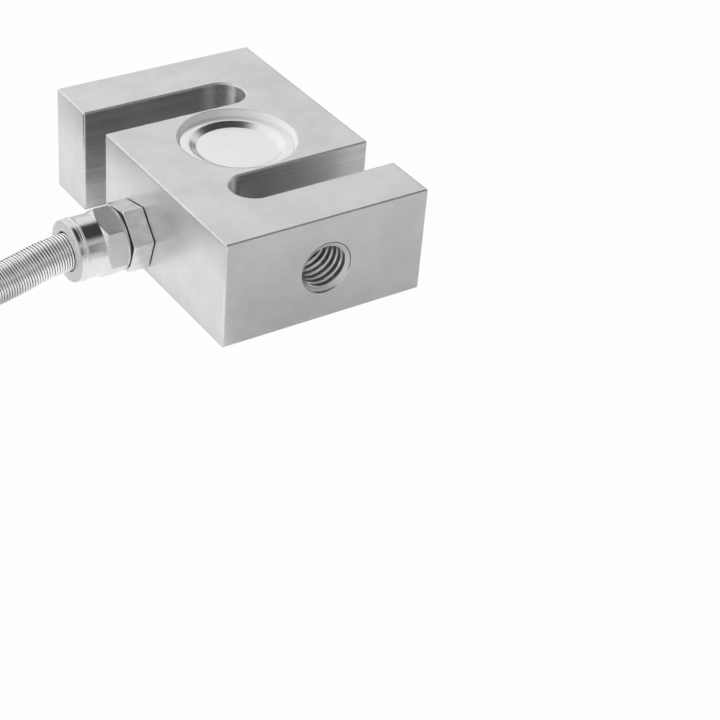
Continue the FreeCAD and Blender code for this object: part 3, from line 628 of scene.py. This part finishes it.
@dataclass(frozen=True)
class GaugeFilm(Finish):
    """Amber film that carries the fine metal grid of one strain gauge."""

    centre: Vector = field(default_factory=Vector)
    angle: float = 0.0
    grid_pitch: float = 0.28 * MM
    grid_half_length: float = 1.8 * MM
    grid_half_width: float = 1.45 * MM
    grid_lustre: float = 0.9
    cloud_scale: float = 400.0

    def cover(self, surface: Surface) -> None:
        """Build the film's shader, with the grid's lines along the gauge."""
        offset = surface.vector("SUBTRACT", surface.point, tuple(self.centre)).outputs[0]
        mapping = surface.node("Mapping", vector_type="TEXTURE")
        surface.fill(mapping, Vector=offset, Rotation=(0.0, 0.0, math.radians(self.angle)))
        axes = surface.axes(mapping.outputs[0])
        wave = surface.math("SINE", surface.math("MULTIPLY", axes["Y"], 2 * math.pi / self.grid_pitch))
        grid = surface.product(
            surface.math("GREATER_THAN", wave, 0.0), surface.within(axes["X"], self.grid_half_length),
            surface.within(axes["Y"], self.grid_half_width),
        )
        grain = surface.effect(satin_grain(), Cloud_Scale=self.cloud_scale)
        film = self.clouded(surface, grain["Cloud"], 0.85, 1.0)
        lustre = surface.math("MULTIPLY", grid, self.grid_lustre)
        surface.fill(surface.shader, Base_Color=surface.mix(grid, film, rgba(GRID_FOIL)), Metallic=lustre)
        self.roughen(surface, grain["Grain"], 0.1)
        surface.raise_grain(surface.math("ADD", grain["Grain"], grid), self.grain_depth)


@dataclass(frozen=True)
class PaddedBoard(Finish):
    """Glass-fibre board with two rows of round solder pads along Y."""

    centre: Vector = field(default_factory=Vector)
    pad_pitch: float = 1.3 * MM
    pad_radius: float = 0.45 * MM
    row_offset: float = 0.8 * MM
    cloud_scale: float = 500.0

    def cover(self, surface: Surface) -> None:
        """Build the board's shader."""
        offset = surface.vector("SUBTRACT", surface.point, tuple(self.centre)).outputs[0]
        axes = surface.axes(offset)
        across = surface.math("SUBTRACT", surface.math("ABSOLUTE", axes["X"]), self.row_offset)
        along = surface.math("PINGPONG", axes["Y"], self.pad_pitch / 2)
        pad = surface.within(surface.hypot(across, along), self.pad_radius)
        grain = surface.effect(satin_grain(), Cloud_Scale=self.cloud_scale)
        board = self.clouded(surface, grain["Cloud"], 0.8, 1.15)
        surface.fill(surface.shader, Base_Color=surface.mix(pad, board, rgba(SOLDER)), Metallic=pad)
        self.roughen(surface, grain["Grain"], 0.12)
        surface.raise_grain(surface.math("ADD", grain["Grain"], pad), self.grain_depth)


@dataclass(frozen=True)
class BandedLacquer(Finish):
    """A small resistor's lacquer, with coloured rings round it and bare caps at its ends."""

    start_y: float = 0.0
    length: float = 2.6 * MM
    bands: tuple[Colour, ...] = ((0.25, 0.08, 0.02), (0.02, 0.02, 0.02), (0.5, 0.02, 0.02), (0.5, 0.3, 0.03))
    cap_share: float = 0.1
    first_band: float = 0.22
    band_pitch: float = 0.15
    band_width: float = 0.07

    def cover(self, surface: Surface) -> None:
        """Build the resistor's shader."""
        along = surface.math("SUBTRACT", surface.axes(surface.point)["Y"], self.start_y)
        ramp = surface.node("ValToRGB")
        ramp.color_ramp.interpolation = "CONSTANT"
        surface.feed(ramp.inputs[0], surface.math("DIVIDE", along, self.length))
        stops = [(0.0, END_CAP), (self.cap_share, self.colour)]
        for index, band in enumerate(self.bands):
            place = self.first_band + self.band_pitch * index
            stops += [(place, band), (place + self.band_width, self.colour)]
        stops.append((1 - self.cap_share, END_CAP))
        while len(ramp.color_ramp.elements) < len(stops):
            ramp.color_ramp.elements.new(1.0)
        for element, (position, band) in zip(ramp.color_ramp.elements, stops):
            element.position = position
            element.color = rgba(band)
        grain = surface.effect(satin_grain())
        colour = surface.mix(0.12, ramp.outputs[0], grain["Cloud"], "MULTIPLY")
        surface.fill(surface.shader, Base_Color=colour)
        self.roughen(surface, grain["Grain"], 0.1)
        surface.raise_grain(grain["Grain"], self.grain_depth)


# The body's worn edges are lifted to a near-white painted highlight line.
SATIN_STEEL = SlottedSteel(
    "satin_steel", (0.735, 0.735, 0.735), 0.31, grain_scale=2600.0, grain_depth=0.006 * MM,
    cloud_scale=75.0, cloud_depth=0.06, wear_radius=0.4 * MM, wear=1.0, wear_highlight_shade=1.33,
    marks=Marks.MILLED, marks_depth=0.008 * MM, marks_shade=0.18, edge_radius=0.5 * MM,
)
THREAD_STEEL = ThreadSteel(
    "cut_thread", (0.85, 0.85, 0.85), 0.2, grain_scale=4000.0, grain_depth=0.003 * MM,
    cloud_scale=300.0, cloud_depth=0.1, wear_radius=0.12 * MM, wear=0.7,
)
CUP_STEEL = MetalFinish(
    "pressed_cup", (0.895, 0.895, 0.895), 0.2, grain_scale=5200.0, grain_depth=0.004 * MM,
    cloud_scale=90.0, cloud_depth=0.02, wear_radius=0.2 * MM, wear=0.05,
)
NUT_PLATE = NutPlate(
    "polished_nut", (0.82, 0.817, 0.81), 0.16, grain_scale=2600.0, grain_depth=0.003 * MM,
    cloud_scale=260.0, cloud_depth=0.05, roughness_spread=0.06, wear_radius=0.15 * MM, wear=0.2,
    marks=Marks.TURNED, marks_depth=0.0012 * MM, marks_shade=0.06, edge_radius=0.3 * MM,
)
MATT_PLATE = MetalFinish(
    "matt_plate", (0.80, 0.797, 0.79), 0.34, grain_scale=2600.0, grain_depth=0.012 * MM,
    cloud_scale=420.0, cloud_depth=0.09, roughness_spread=0.12, wear_radius=0.15 * MM, wear=0.2,
    edge_radius=0.3 * MM,
)
SPRING_WIRE = GroovedSteel(
    "drawn_spring_wire", (0.95, 0.95, 0.95), 0.16, grain_scale=6000.0, grain_depth=0.002 * MM,
    cloud_scale=500.0, cloud_depth=0.1, wear_radius=0.08 * MM, wear=0.2,
)
TINNED_COPPER = MetalFinish(
    "tinned_copper", (0.76, 0.75, 0.73), 0.3, grain_scale=5000.0, grain_depth=0.01 * MM,
    cloud_scale=900.0, cloud_depth=0.12, wear_radius=0.05 * MM, wear=0.2,
)
BLACK_RUBBER = PlasticFinish("black_rubber", (0.018, 0.018, 0.018), 0.7, dust=0.08)
CABLE_JACKET = PlasticFinish("cable_jacket", (0.035, 0.035, 0.037), 0.5, grain_depth=0.03 * MM, dust=0.1)
SHRINK_SLEEVE = PlasticFinish(
    "shrink_sleeve", (0.02, 0.02, 0.021), 0.36, grain_scale=900.0, grain_depth=0.08 * MM,
)
TIE_NYLON = PlasticFinish("tie_nylon", (0.76, 0.75, 0.70), 0.4, grain_scale=1500.0, dust=0.05)
WIRE_ENAMEL = PlasticFinish("wire_enamel", (0.42, 0.17, 0.03), 0.3, dust=0.0)
CORE_COLOURS = {
    "red": (0.50, 0.02, 0.015),
    "black": (0.018, 0.018, 0.018),
    "green": (0.015, 0.24, 0.06),
    "white": (0.74, 0.74, 0.72),
}


def stand(name: str, data: bpy.types.ID) -> bpy.types.Object:
    """Return a new object of the scene that holds the given mesh, curve, camera or lamp."""
    made = bpy.data.objects.new(name, data)
    bpy.context.scene.collection.objects.link(made)
    return made


def aim(made: bpy.types.Object, place: Vector, target: Vector, roll: float = 0.0) -> None:
    """Put a camera or a lamp at a place and turn it to a target, rolled by some degrees."""
    made.location = place
    made.rotation_mode = "QUATERNION"
    facing = (target - place).to_track_quat("-Z", "Y")
    made.rotation_quaternion = facing @ Quaternion((0.0, 0.0, 1.0), math.radians(roll))


def dress(node: str, finish: Finish) -> bpy.types.Object:
    """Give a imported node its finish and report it.

    Args:
        node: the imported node's name.
        finish: the finish for all of its material slots.

    Returns:
        The node's object.
    """
    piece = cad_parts[node]
    for place in piece.material_slots:
        place.material = finish.material()
    LOG.info("dressed %s in %s", node, finish.name)
    return piece


def add_piece(name: str, mesh: bpy.types.Mesh, finish: Finish) -> bpy.types.Object:
    """Add a new rigid piece that rides on the load cell.

    Args:
        name: the piece's name.
        mesh: its mesh, in place.
        finish: its finish.

    Returns:
        The new object.
    """
    piece = stand(name, mesh)
    mesh.materials.clear()
    mesh.materials.append(finish.material())
    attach(piece, BODY)
    LOG.info("added %s with %d faces", name, len(mesh.polygons))
    return piece


def curve_through(name: str, kind: str, places: list[Vector]) -> bpy.types.Curve:
    """Return a curve with one open spline of a kind, such as POLY, on the given places."""
    made = bpy.data.curves.new(name, "CURVE")
    made.dimensions = "3D"
    spline = made.splines.new(kind)
    spline.points.add(len(places) - 1)
    for point, place in zip(spline.points, places):
        point.co = (*place, 1.0)
    return made


def thicken(curve: bpy.types.Curve, radius: float, resolution: int) -> None:
    """Make a curve a round wire with closed ends."""
    curve.bevel_depth = radius
    curve.bevel_resolution = resolution
    curve.use_fill_caps = True


def mesh_of(curve: bpy.types.Curve) -> bpy.types.Mesh:
    """Return a curve's surface or line as a mesh of its own."""
    holder = stand("curve_holder", curve)
    made = bpy.data.meshes.new_from_object(holder.evaluated_get(bpy.context.evaluated_depsgraph_get()))
    bpy.data.objects.remove(holder)
    return made


def smooth(mesh: bpy.types.Mesh) -> None:
    """Shade every face of a mesh smooth."""
    mesh.polygons.foreach_set("use_smooth", [True] * len(mesh.polygons))


# ---------------------------------------------------------------- the elastic body
@dataclass
class LoadThread:
    """The ridge of one M12 load thread, cut right-handed into the bore of one end of the body."""

    side: int
    major_radius: float = 6.0 * MM
    pitch: float = 1.75 * MM
    depth_share: float = 0.5413
    crest_ease: float = 0.05 * MM
    root_overlap: float = 0.02 * MM
    length: float = 13.3 * MM
    steps_per_turn: int = 60
    mouth_radius: float = 6.3 * MM
    mouth_slope: float = 2.4
    lead_in: float = 1.58
    end_gap: float = 0.02 * MM
    sharp_from: float = 35.0

    def profile(self, ridge: bmesh.types.BMesh) -> list[bmesh.types.BMEdge]:
        """Draw the ridge's open section at the start of the first turn.

        Args:
            ridge: the mesh to draw in.

        Returns:
            The section's edges, from one root over the rounded crest to the other.
        """
        crest = self.major_radius - self.depth_share * self.pitch
        root = self.major_radius + self.root_overlap
        flat, foot, ease = self.pitch / 8, self.pitch * 7 / 16, self.crest_ease
        places = [(root, -foot), (crest + ease, -flat - ease / 2), (crest, -flat + ease)]
        places += [(crest, flat - ease), (crest + ease, flat + ease / 2), (root, foot)]
        before = self.lead_in * self.pitch
        corners = [ridge.verts.new((radius, along - before, 0.0)) for radius, along in places]
        return [ridge.edges.new(pair) for pair in zip(corners, corners[1:])]

    def countersink(self, ridge: bmesh.types.BMesh) -> None:
        """Press the ridge back to the cone that opens the bore at both of its ends."""
        for corner in ridge.verts:
            radius = math.hypot(corner.co.x, corner.co.z)
            from_end = min(corner.co.y, self.length - corner.co.y)
            allowed = self.mouth_radius - from_end * self.mouth_slope
            if radius < allowed:
                corner.co.x *= allowed / radius
                corner.co.z *= allowed / radius

    def mesh(self) -> bpy.types.Mesh:
        """Return the ridge's mesh, in place in its bore."""
        ridge = bmesh.new()
        section = self.profile(ridge)
        turns = self.length / self.pitch + self.lead_in + 1
        steps = round(turns * self.steps_per_turn)
        bmesh.ops.spin(
            ridge, geom=[*ridge.verts, *section], cent=(0.0, 0.0, 0.0), axis=(0.0, 1.0, 0.0),
            dvec=(0.0, self.pitch / self.steps_per_turn, 0.0), angle=turns * 2 * math.pi,
            steps=steps, use_merge=False,
        )
        for height, facing in ((self.end_gap, -1.0), (self.length - self.end_gap, 1.0)):
            bmesh.ops.bisect_plane(
                ridge, geom=[*ridge.verts, *ridge.edges, *ridge.faces], dist=1e-7,
                plane_co=(0.0, height, 0.0), plane_no=(0.0, facing, 0.0), clear_outer=True,
            )
        self.countersink(ridge)
        self.place(ridge)
        mesh = bpy.data.meshes.new("load_thread")
        ridge.to_mesh(mesh)
        ridge.free()
        smooth(mesh)
        mesh.set_sharp_from_angle(angle=math.radians(self.sharp_from))
        return mesh

    def place(self, ridge: bmesh.types.BMesh) -> None:
        """Carry the ridge from the origin, where it runs along +Y, to its end of the body."""
        low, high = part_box("s_body")
        turn = Matrix.Rotation(0.0 if self.side < 0 else math.pi, 4, "Z")
        end = Vector((0.0, low.y if self.side < 0 else high.y, (low.z + high.z) / 2))
        bmesh.ops.transform(ridge, matrix=Matrix.Translation(end) @ turn, verts=ridge.verts)
        bmesh.ops.recalc_face_normals(ridge, faces=ridge.faces)
        facing_in = sum((face.normal.dot(self.inward(face, end)) for face in ridge.faces), 0.0)
        if facing_in < 0:
            bmesh.ops.reverse_faces(ridge, faces=ridge.faces)

    @staticmethod
    def inward(face: bmesh.types.BMFace, end: Vector) -> Vector:
        """Return the direction from a face of the ridge to the bore's axis."""
        centre = face.calc_center_median()
        return Vector((end.x - centre.x, 0.0, end.z - centre.z))


@dataclass
class ElasticBody:
    """The machined S body with its two load threads and its two sealing cups."""

    cups: tuple[str, ...] = ("upper_sealing_cup", "lower_sealing_cup")

    def build(self) -> None:
        """Dress the body and its cups, and cut the threads."""
        dress("s_body", SATIN_STEEL)
        for cup in self.cups:
            dress(cup, CUP_STEEL)
        for side, name in ((-1, "front_load_thread_ridge"), (1, "rear_load_thread_ridge")):
            add_piece(name, LoadThread(side).mesh(), THREAD_STEEL)


@dataclass
class MeasuringBridge:
    """The gauges, solder strips, resistors and wires that are sealed inside the pockets."""

    gauge_turn: float = 45.0

    def build(self) -> None:
        """Dress every sealed piece."""
        for level in ("upper", "lower"):
            for hand, name in ((-1, f"{level}_left_gauge"), (1, f"{level}_right_gauge")):
                angle = hand * self.gauge_turn
                dress(name, GaugeFilm(name, (0.45, 0.2, 0.03), 0.3, centre=middle(name), angle=angle))
            strip = f"{level}_terminal_strip"
            dress(strip, PaddedBoard(strip, (0.03, 0.2, 0.08), 0.4, centre=middle(strip)))
        for name in ("zero_trim_resistor", "span_trim_resistor"):
            low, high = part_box(name)
            dress(name, BandedLacquer(name, (0.25, 0.42, 0.5), 0.25, start_y=low.y, length=high.y - low.y))
        for name in ("bridge_wires", "inner_leads"):
            dress(name, WIRE_ENAMEL)
        dress("gauge_leads", TINNED_COPPER)


# ---------------------------------------------------------------- the gland and the cable
@dataclass
class CableGland:
    """The plated gland with its rubber rings."""

    plated: tuple[str, ...] = ("gland_body", "guard_collar", "guard_ferrule")
    polished: tuple[str, ...] = ("gland_nut",)
    rubber: tuple[str, ...] = ("gland_gasket", "gland_o_ring", "gland_seal")

    def build(self) -> list[bpy.types.Object]:
        """Dress the gland and return its pieces."""
        pieces = [dress(name, MATT_PLATE) for name in self.plated]
        pieces += [dress(name, NUT_PLATE) for name in self.polished]
        return pieces + [dress(name, BLACK_RUBBER) for name in self.rubber]


@dataclass
class CoilOfTurns:
    """The put-away cable: rings wound inward on the first layer and outward again on the second."""

    centre: Vector
    first_height: float
    cable: float = 5.0 * MM
    layer_pitch: float = 5.05 * MM
    outer_ring: float = 39.0 * MM
    inner_ring: float = 19.0 * MM
    start_angle: float = 195.0
    total_turn: float = 3275.0
    point_turn: float = 30.0
    step_turn: float = 60.0
    first_step_in: float = 300.0
    first_step_out: float = 1980.0
    rise_start: float = 1680.0

    def stepped(self, turned: float, first: float) -> float:
        """Return how many rings the cable has changed since the first step, one in each turn."""
        rings = round((self.outer_ring - self.inner_ring) / self.cable)
        steps = ((turned - first - 360.0 * ring) / self.step_turn for ring in range(rings))
        return sum(held(step) for step in steps)

    def points(self) -> list[Vector]:
        """Return the control points of the turns, about 12 to each.

        Returns:
            Points a little outside the rings, so that the smooth line runs on the rings themselves.
        """
        count = round(self.total_turn / self.point_turn)
        outside = 0.75 + 0.25 * math.cos(math.radians(self.total_turn / count))
        made = []
        for index in range(count + 1):
            turned = self.total_turn * index / count
            change = self.stepped(turned, self.first_step_out) - self.stepped(turned, self.first_step_in)
            radius = (self.outer_ring + self.cable * change) / outside
            risen = held((turned - self.rise_start) / self.step_turn)
            height = self.first_height + self.layer_pitch * risen
            angle = math.radians(self.start_angle - turned)
            across = Vector((math.cos(angle), math.sin(angle), 0.0)) * radius
            made.append(self.centre + across + Vector((0.0, 0.0, height)))
        return made


@dataclass
class Cable:
    """The 5 mm cable: out of the gland, along the floor, round its coil and on to its bare end.

    The places along it are in millimetres, as port_point takes them.
    """

    diameter: float = 5.0 * MM
    length: float = 1.9
    exit_distance: float = 17.6
    spring_start: float = 14.2
    axis_height: float = 8.2
    run: tuple[Triple, ...] = (
        (15.0, 0.0, 8.2),
        (20.8, 0.0, 8.2),
        (32.2, -1.1, 5.7),
        (46.6, -3.2, 4.85),
        (65.0, -4.6, 4.85),
        (81.5, -2.0, 4.85),
        (95.0, 8.0, 2.9),
        (102.6, 24.0, 2.7),
    )
    tail: tuple[Triple, ...] = (
        (94.6, 79.0, 7.9),
        (87.0, 91.5, 3.8),
        (75.4, 100.0, 3.05),
        (61.0, 103.4, 3.05),
        (47.4, 102.0, 3.05),
    )
    ties: tuple[str, ...] = ("cable_tie_1", "cable_tie_2")

    def port_point(self, distance: float, sideways: float, height: float) -> Vector:
        """Return a point given in millimetres from the side face, the gland's axis and the floor."""
        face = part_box("s_body")[0].x
        axis = middle("cable_entry").y
        return Vector((face - distance * MM, axis + sideways * MM, height * MM))

    def curve(self) -> bpy.types.Curve:
        """Return the cable's centreline as one smooth open spline."""
        centre = middle("cable_coil")
        centre.z = 0.0
        first_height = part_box("cable_coil")[0].z + self.diameter / 2
        route = [self.port_point(*point) for point in self.run]
        route += CoilOfTurns(centre, first_height).points()
        route += [self.port_point(*point) for point in self.tail]
        made = curve_through("cable", "NURBS", route)
        made.splines[0].order_u = 3
        made.splines[0].use_endpoint_u = True
        made.resolution_u = 10
        return made

    def build(self, gland: list[bpy.types.Object]) -> None:
        """Lay the cable, wind its spring guard and dress what is on it.

        Args:
            gland: the gland's pieces.
        """
        curve = self.curve()
        line = [corner.co.copy() for corner in mesh_of(curve).vertices]
        LOG.info("cable line %.4f m", sum((b - a).length for a, b in zip(line, line[1:])))
        spring = SpringGuard([self.port_point(self.spring_start, 0.0, self.axis_height), *line]).build()
        thicken(curve, self.diameter / 2, 6)
        cable = stand("cable_free_length", curve)
        curve.materials.append(CABLE_JACKET.material())
        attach(cable, BODY)
        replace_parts(cable, "cable_run", "cable_coil", "cable_tail")
        on_it = [*gland, spring, dress("cable_entry", CABLE_JACKET), dress("end_sleeve", SHRINK_SLEEVE)]
        on_it += [dress(name, TIE_NYLON) for name in self.ties]
        for name, colour in CORE_COLOURS.items():
            on_it.append(dress(f"lead_{name}", PlasticFinish(f"core_{name}", colour, 0.38, dust=0.04)))
        on_it.append(dress("lead_tips", TINNED_COPPER))
        LOG.info("laid cable_free_length")


@dataclass
class SpringGuard:
    """The close-wound spring round the cable's first stretch, as one wire wound about its line."""

    line: list[Vector]
    outer_radius: float = 4.25 * MM
    wire: float = 0.65 * MM
    points_per_turn: int = 30
    in_ferrule: float = 0.8 * MM

    def placed(self, distance: float, lengths: list[float]) -> tuple[Vector, Vector]:
        """Return the place and the direction on the cable's line at a distance from its start."""
        index = next((i for i, reached in enumerate(lengths[1:]) if reached >= distance), len(lengths) - 2)
        before, after = self.line[index], self.line[index + 1]
        share = (distance - lengths[index]) / (lengths[index + 1] - lengths[index])
        return before.lerp(after, share), (after - before).normalized()

    def guard_length(self, lengths: list[float]) -> float:
        """Return how far along the line the spring reaches: to just inside its ferrule's wall."""
        end = middle("guard_ferrule")
        nearest = min(range(len(self.line)), key=lambda index: (self.line[index] - end).length)
        return lengths[nearest] + self.in_ferrule

    def build(self) -> bpy.types.Object:
        """Wind the spring, and return it as a piece that stands for the plain sleeve."""
        lengths = [0.0]
        for before, after in zip(self.line, self.line[1:]):
            lengths.append(lengths[-1] + (after - before).length)
        reach = self.guard_length(lengths)
        turns = reach / self.wire
        count = round(turns * self.points_per_turn)
        helix_radius = self.outer_radius - self.wire / 2
        level = Vector((0.0, 1.0, 0.0))
        helix = []
        for index in range(count + 1):
            place, along = self.placed(reach * index / count, lengths)
            level = (level - along * level.dot(along)).normalized()
            angle = 2 * math.pi * turns * index / count
            outward = level * math.cos(angle) + along.cross(level) * math.sin(angle)
            helix.append(place + outward * helix_radius)
        curve = curve_through("spring_guard_wire", "POLY", helix)
        thicken(curve, self.wire / 2, 2)
        mesh = mesh_of(curve)
        smooth(mesh)
        piece = add_piece("spring_guard_wire", mesh, SPRING_WIRE)
        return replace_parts(piece, "spring_guard")


# ---------------------------------------------------------------- floor, light and camera
@dataclass(frozen=True)
class Opening:
    """An oval opening of the tent, with a soft edge."""

    towards: Triple
    reach: Triple
    light_left: float
    edge: tuple[float, float] = (0.78, 1.42)

    def share(self, graph: Graph, direction: Socket) -> Socket:
        """Return the tent's share of light in a direction, which falls to what is left inside."""
        offset = graph.vector("SUBTRACT", direction, self.towards).outputs[0]
        away = graph.vector("LENGTH", graph.vector("DIVIDE", offset, self.reach).outputs[0])
        return graph.span(away.outputs["Value"], *self.edge, self.light_left, 1.0)


@dataclass
class Studio:
    """A pale floor with a strip that glows for metal only, an open-sided white tent, one soft lamp and the
    camera.
    """

    camera_place: Vector = field(default_factory=lambda: Vector((-0.19808, -0.31639, 0.23042)))
    camera_target: Vector = field(default_factory=lambda: Vector((-0.01265, -0.06972, 0.0127)))
    camera_roll: float = 5.25
    camera_lens: float = 94.63
    tent_light: float = 0.76
    tent_slope: tuple[float, float] = (-0.13, 0.233)
    openings: tuple[Opening, ...] = (
        Opening((0.33, -0.09, 1.0), (0.54, 0.46, 0.9), 0.0),
        Opening((0.42, -0.86, 0.3), (0.4, 0.5, 0.18), 0.35),
        Opening((0.8, 0.6, 0.05), (0.4, 0.4, 0.25), 0.25),
    )
    lamp_place: Vector = field(default_factory=lambda: Vector((-0.45, 0.45, 0.35)))
    lamp_target: Vector = field(default_factory=lambda: Vector((-0.12, 0.12, 0.0)))
    lamp_power: float = 1.5
    lamp_size: float = 0.45
    floor_size: float = 6.0
    paper: Colour = (0.9, 0.9, 0.9)
    floor_seen: float = 0.97
    tent_mirrored: float = 0.05
    # a strip of floor that metal sees glowing white: painted light mirrored in the body's left faces
    strip_middle: float = -39.0 * MM
    strip_reach: tuple[float, float] = (8.0 * MM, 20.0 * MM)
    strip_shares: tuple[float, float] = (1.0, 0.3)

    def camera(self) -> None:
        """Set up the camera, which looks down on the body's front left."""
        lens = bpy.data.cameras.new("camera")
        lens.lens = self.camera_lens
        lens.sensor_width = 36.0
        lens.clip_start = 0.01
        lens.clip_end = 20.0
        camera = stand("camera", lens)
        aim(camera, self.camera_place, self.camera_target, self.camera_roll)
        bpy.context.scene.camera = camera

    def floor(self) -> None:
        """Lay the pale floor, which keeps the load cell's shadow."""
        sheet = bmesh.new()
        bmesh.ops.create_grid(sheet, x_segments=1, y_segments=1, size=self.floor_size / 2)
        mesh = bpy.data.meshes.new("floor")
        sheet.to_mesh(mesh)
        sheet.free()
        made = bpy.data.materials.new("floor_paper")
        made.use_nodes = True
        mesh.materials.append(made)
        graph = Graph(made.node_tree)
        made.node_tree.nodes.remove(made.node_tree.nodes["Principled BSDF"])
        paper, glow = graph.node("BsdfDiffuse"), graph.node("Emission")
        graph.fill(paper, Color=rgba(self.paper))
        share = self.backdrop_share(graph, self.floor_seen, self.glow_strip_share(graph))
        shader = graph.mix_shaders(share, paper.outputs[0], glow.outputs[0])
        graph.fill(made.node_tree.nodes["Material Output"], Surface=shader)
        floor = stand("floor", mesh)

    def glow_strip_share(self, graph: Graph) -> Socket:
        """Return how white metal sees the floor: whitest in a glowing strip along the body's left side,
        painted light that only reflections show.
        """
        across = graph.axes(graph.node("TexCoord").outputs["Object"])["X"]
        away = graph.math("ABSOLUTE", graph.math("SUBTRACT", across, self.strip_middle))
        return graph.span(away, *self.strip_reach, *self.strip_shares)

    def backdrop_share(self, graph: Graph, seen: float, mirrored: object) -> Socket:
        """Return how much of the white backdrop a ray gets.

        Args:
            graph: the floor's or the world's graph.
            seen: the share for the camera's rays.
            mirrored: the share for rays that come off metal or through glass.

        Returns:
            The share.
        """
        rays = graph.node("LightPath").outputs
        bent = graph.math("ADD", rays["Is Glossy Ray"], rays["Is Transmission Ray"])
        straight = graph.math("MULTIPLY", rays["Is Camera Ray"], seen)
        return graph.math("ADD", straight, graph.math("MULTIPLY", bent, mirrored), clamp=True)

    def tent(self) -> None:
        """Surround the scene with a white tent, brightest at its left and rear, with its openings."""
        world = bpy.data.worlds.new("tent")
        bpy.context.scene.world = world
        world.use_nodes = True
        graph = Graph(world.node_tree)
        direction = graph.node("TexCoord").outputs["Generated"]
        level = self.tent_light
        for axis, slope in zip("XY", self.tent_slope):
            level = graph.math("MULTIPLY_ADD", graph.axes(direction)[axis], slope, level)
        for opening in self.openings:
            level = graph.math("MULTIPLY", level, opening.share(graph, direction))
        around, backdrop = world.node_tree.nodes["Background"], graph.node("Background")
        graph.fill(around, Color=rgba(WHITE), Strength=level)
        graph.fill(backdrop, Color=rgba(WHITE))
        share = self.backdrop_share(graph, 1.0, self.tent_mirrored)
        shader = graph.mix_shaders(share, around.outputs[0], backdrop.outputs[0])
        graph.fill(world.node_tree.nodes["World Output"], Surface=shader)

    def lamp(self) -> None:
        """Hang the soft lamp that throws the shadow, which no metal mirrors."""
        light = bpy.data.lights.new("key_lamp", "AREA")
        light.energy = self.lamp_power
        light.size = self.lamp_size
        lamp = stand("key_lamp", light)
        aim(lamp, self.lamp_place, self.lamp_target)
        lamp.visible_glossy = False

    def build(self) -> None:
        """Set the stage."""
        self.camera()
        self.floor()
        self.tent()
        self.lamp()
        bpy.context.scene.view_settings.view_transform = "Standard"
        LOG.info("set the stage")


def main() -> None:
    """Build the load cell's looks."""
    logging.basicConfig(level=logging.INFO, format="%(name)s: %(message)s")
    Studio().build()
    ElasticBody().build()
    MeasuringBridge().build()
    Cable().build(CableGland().build())


if __name__ == "__main__":
    main()
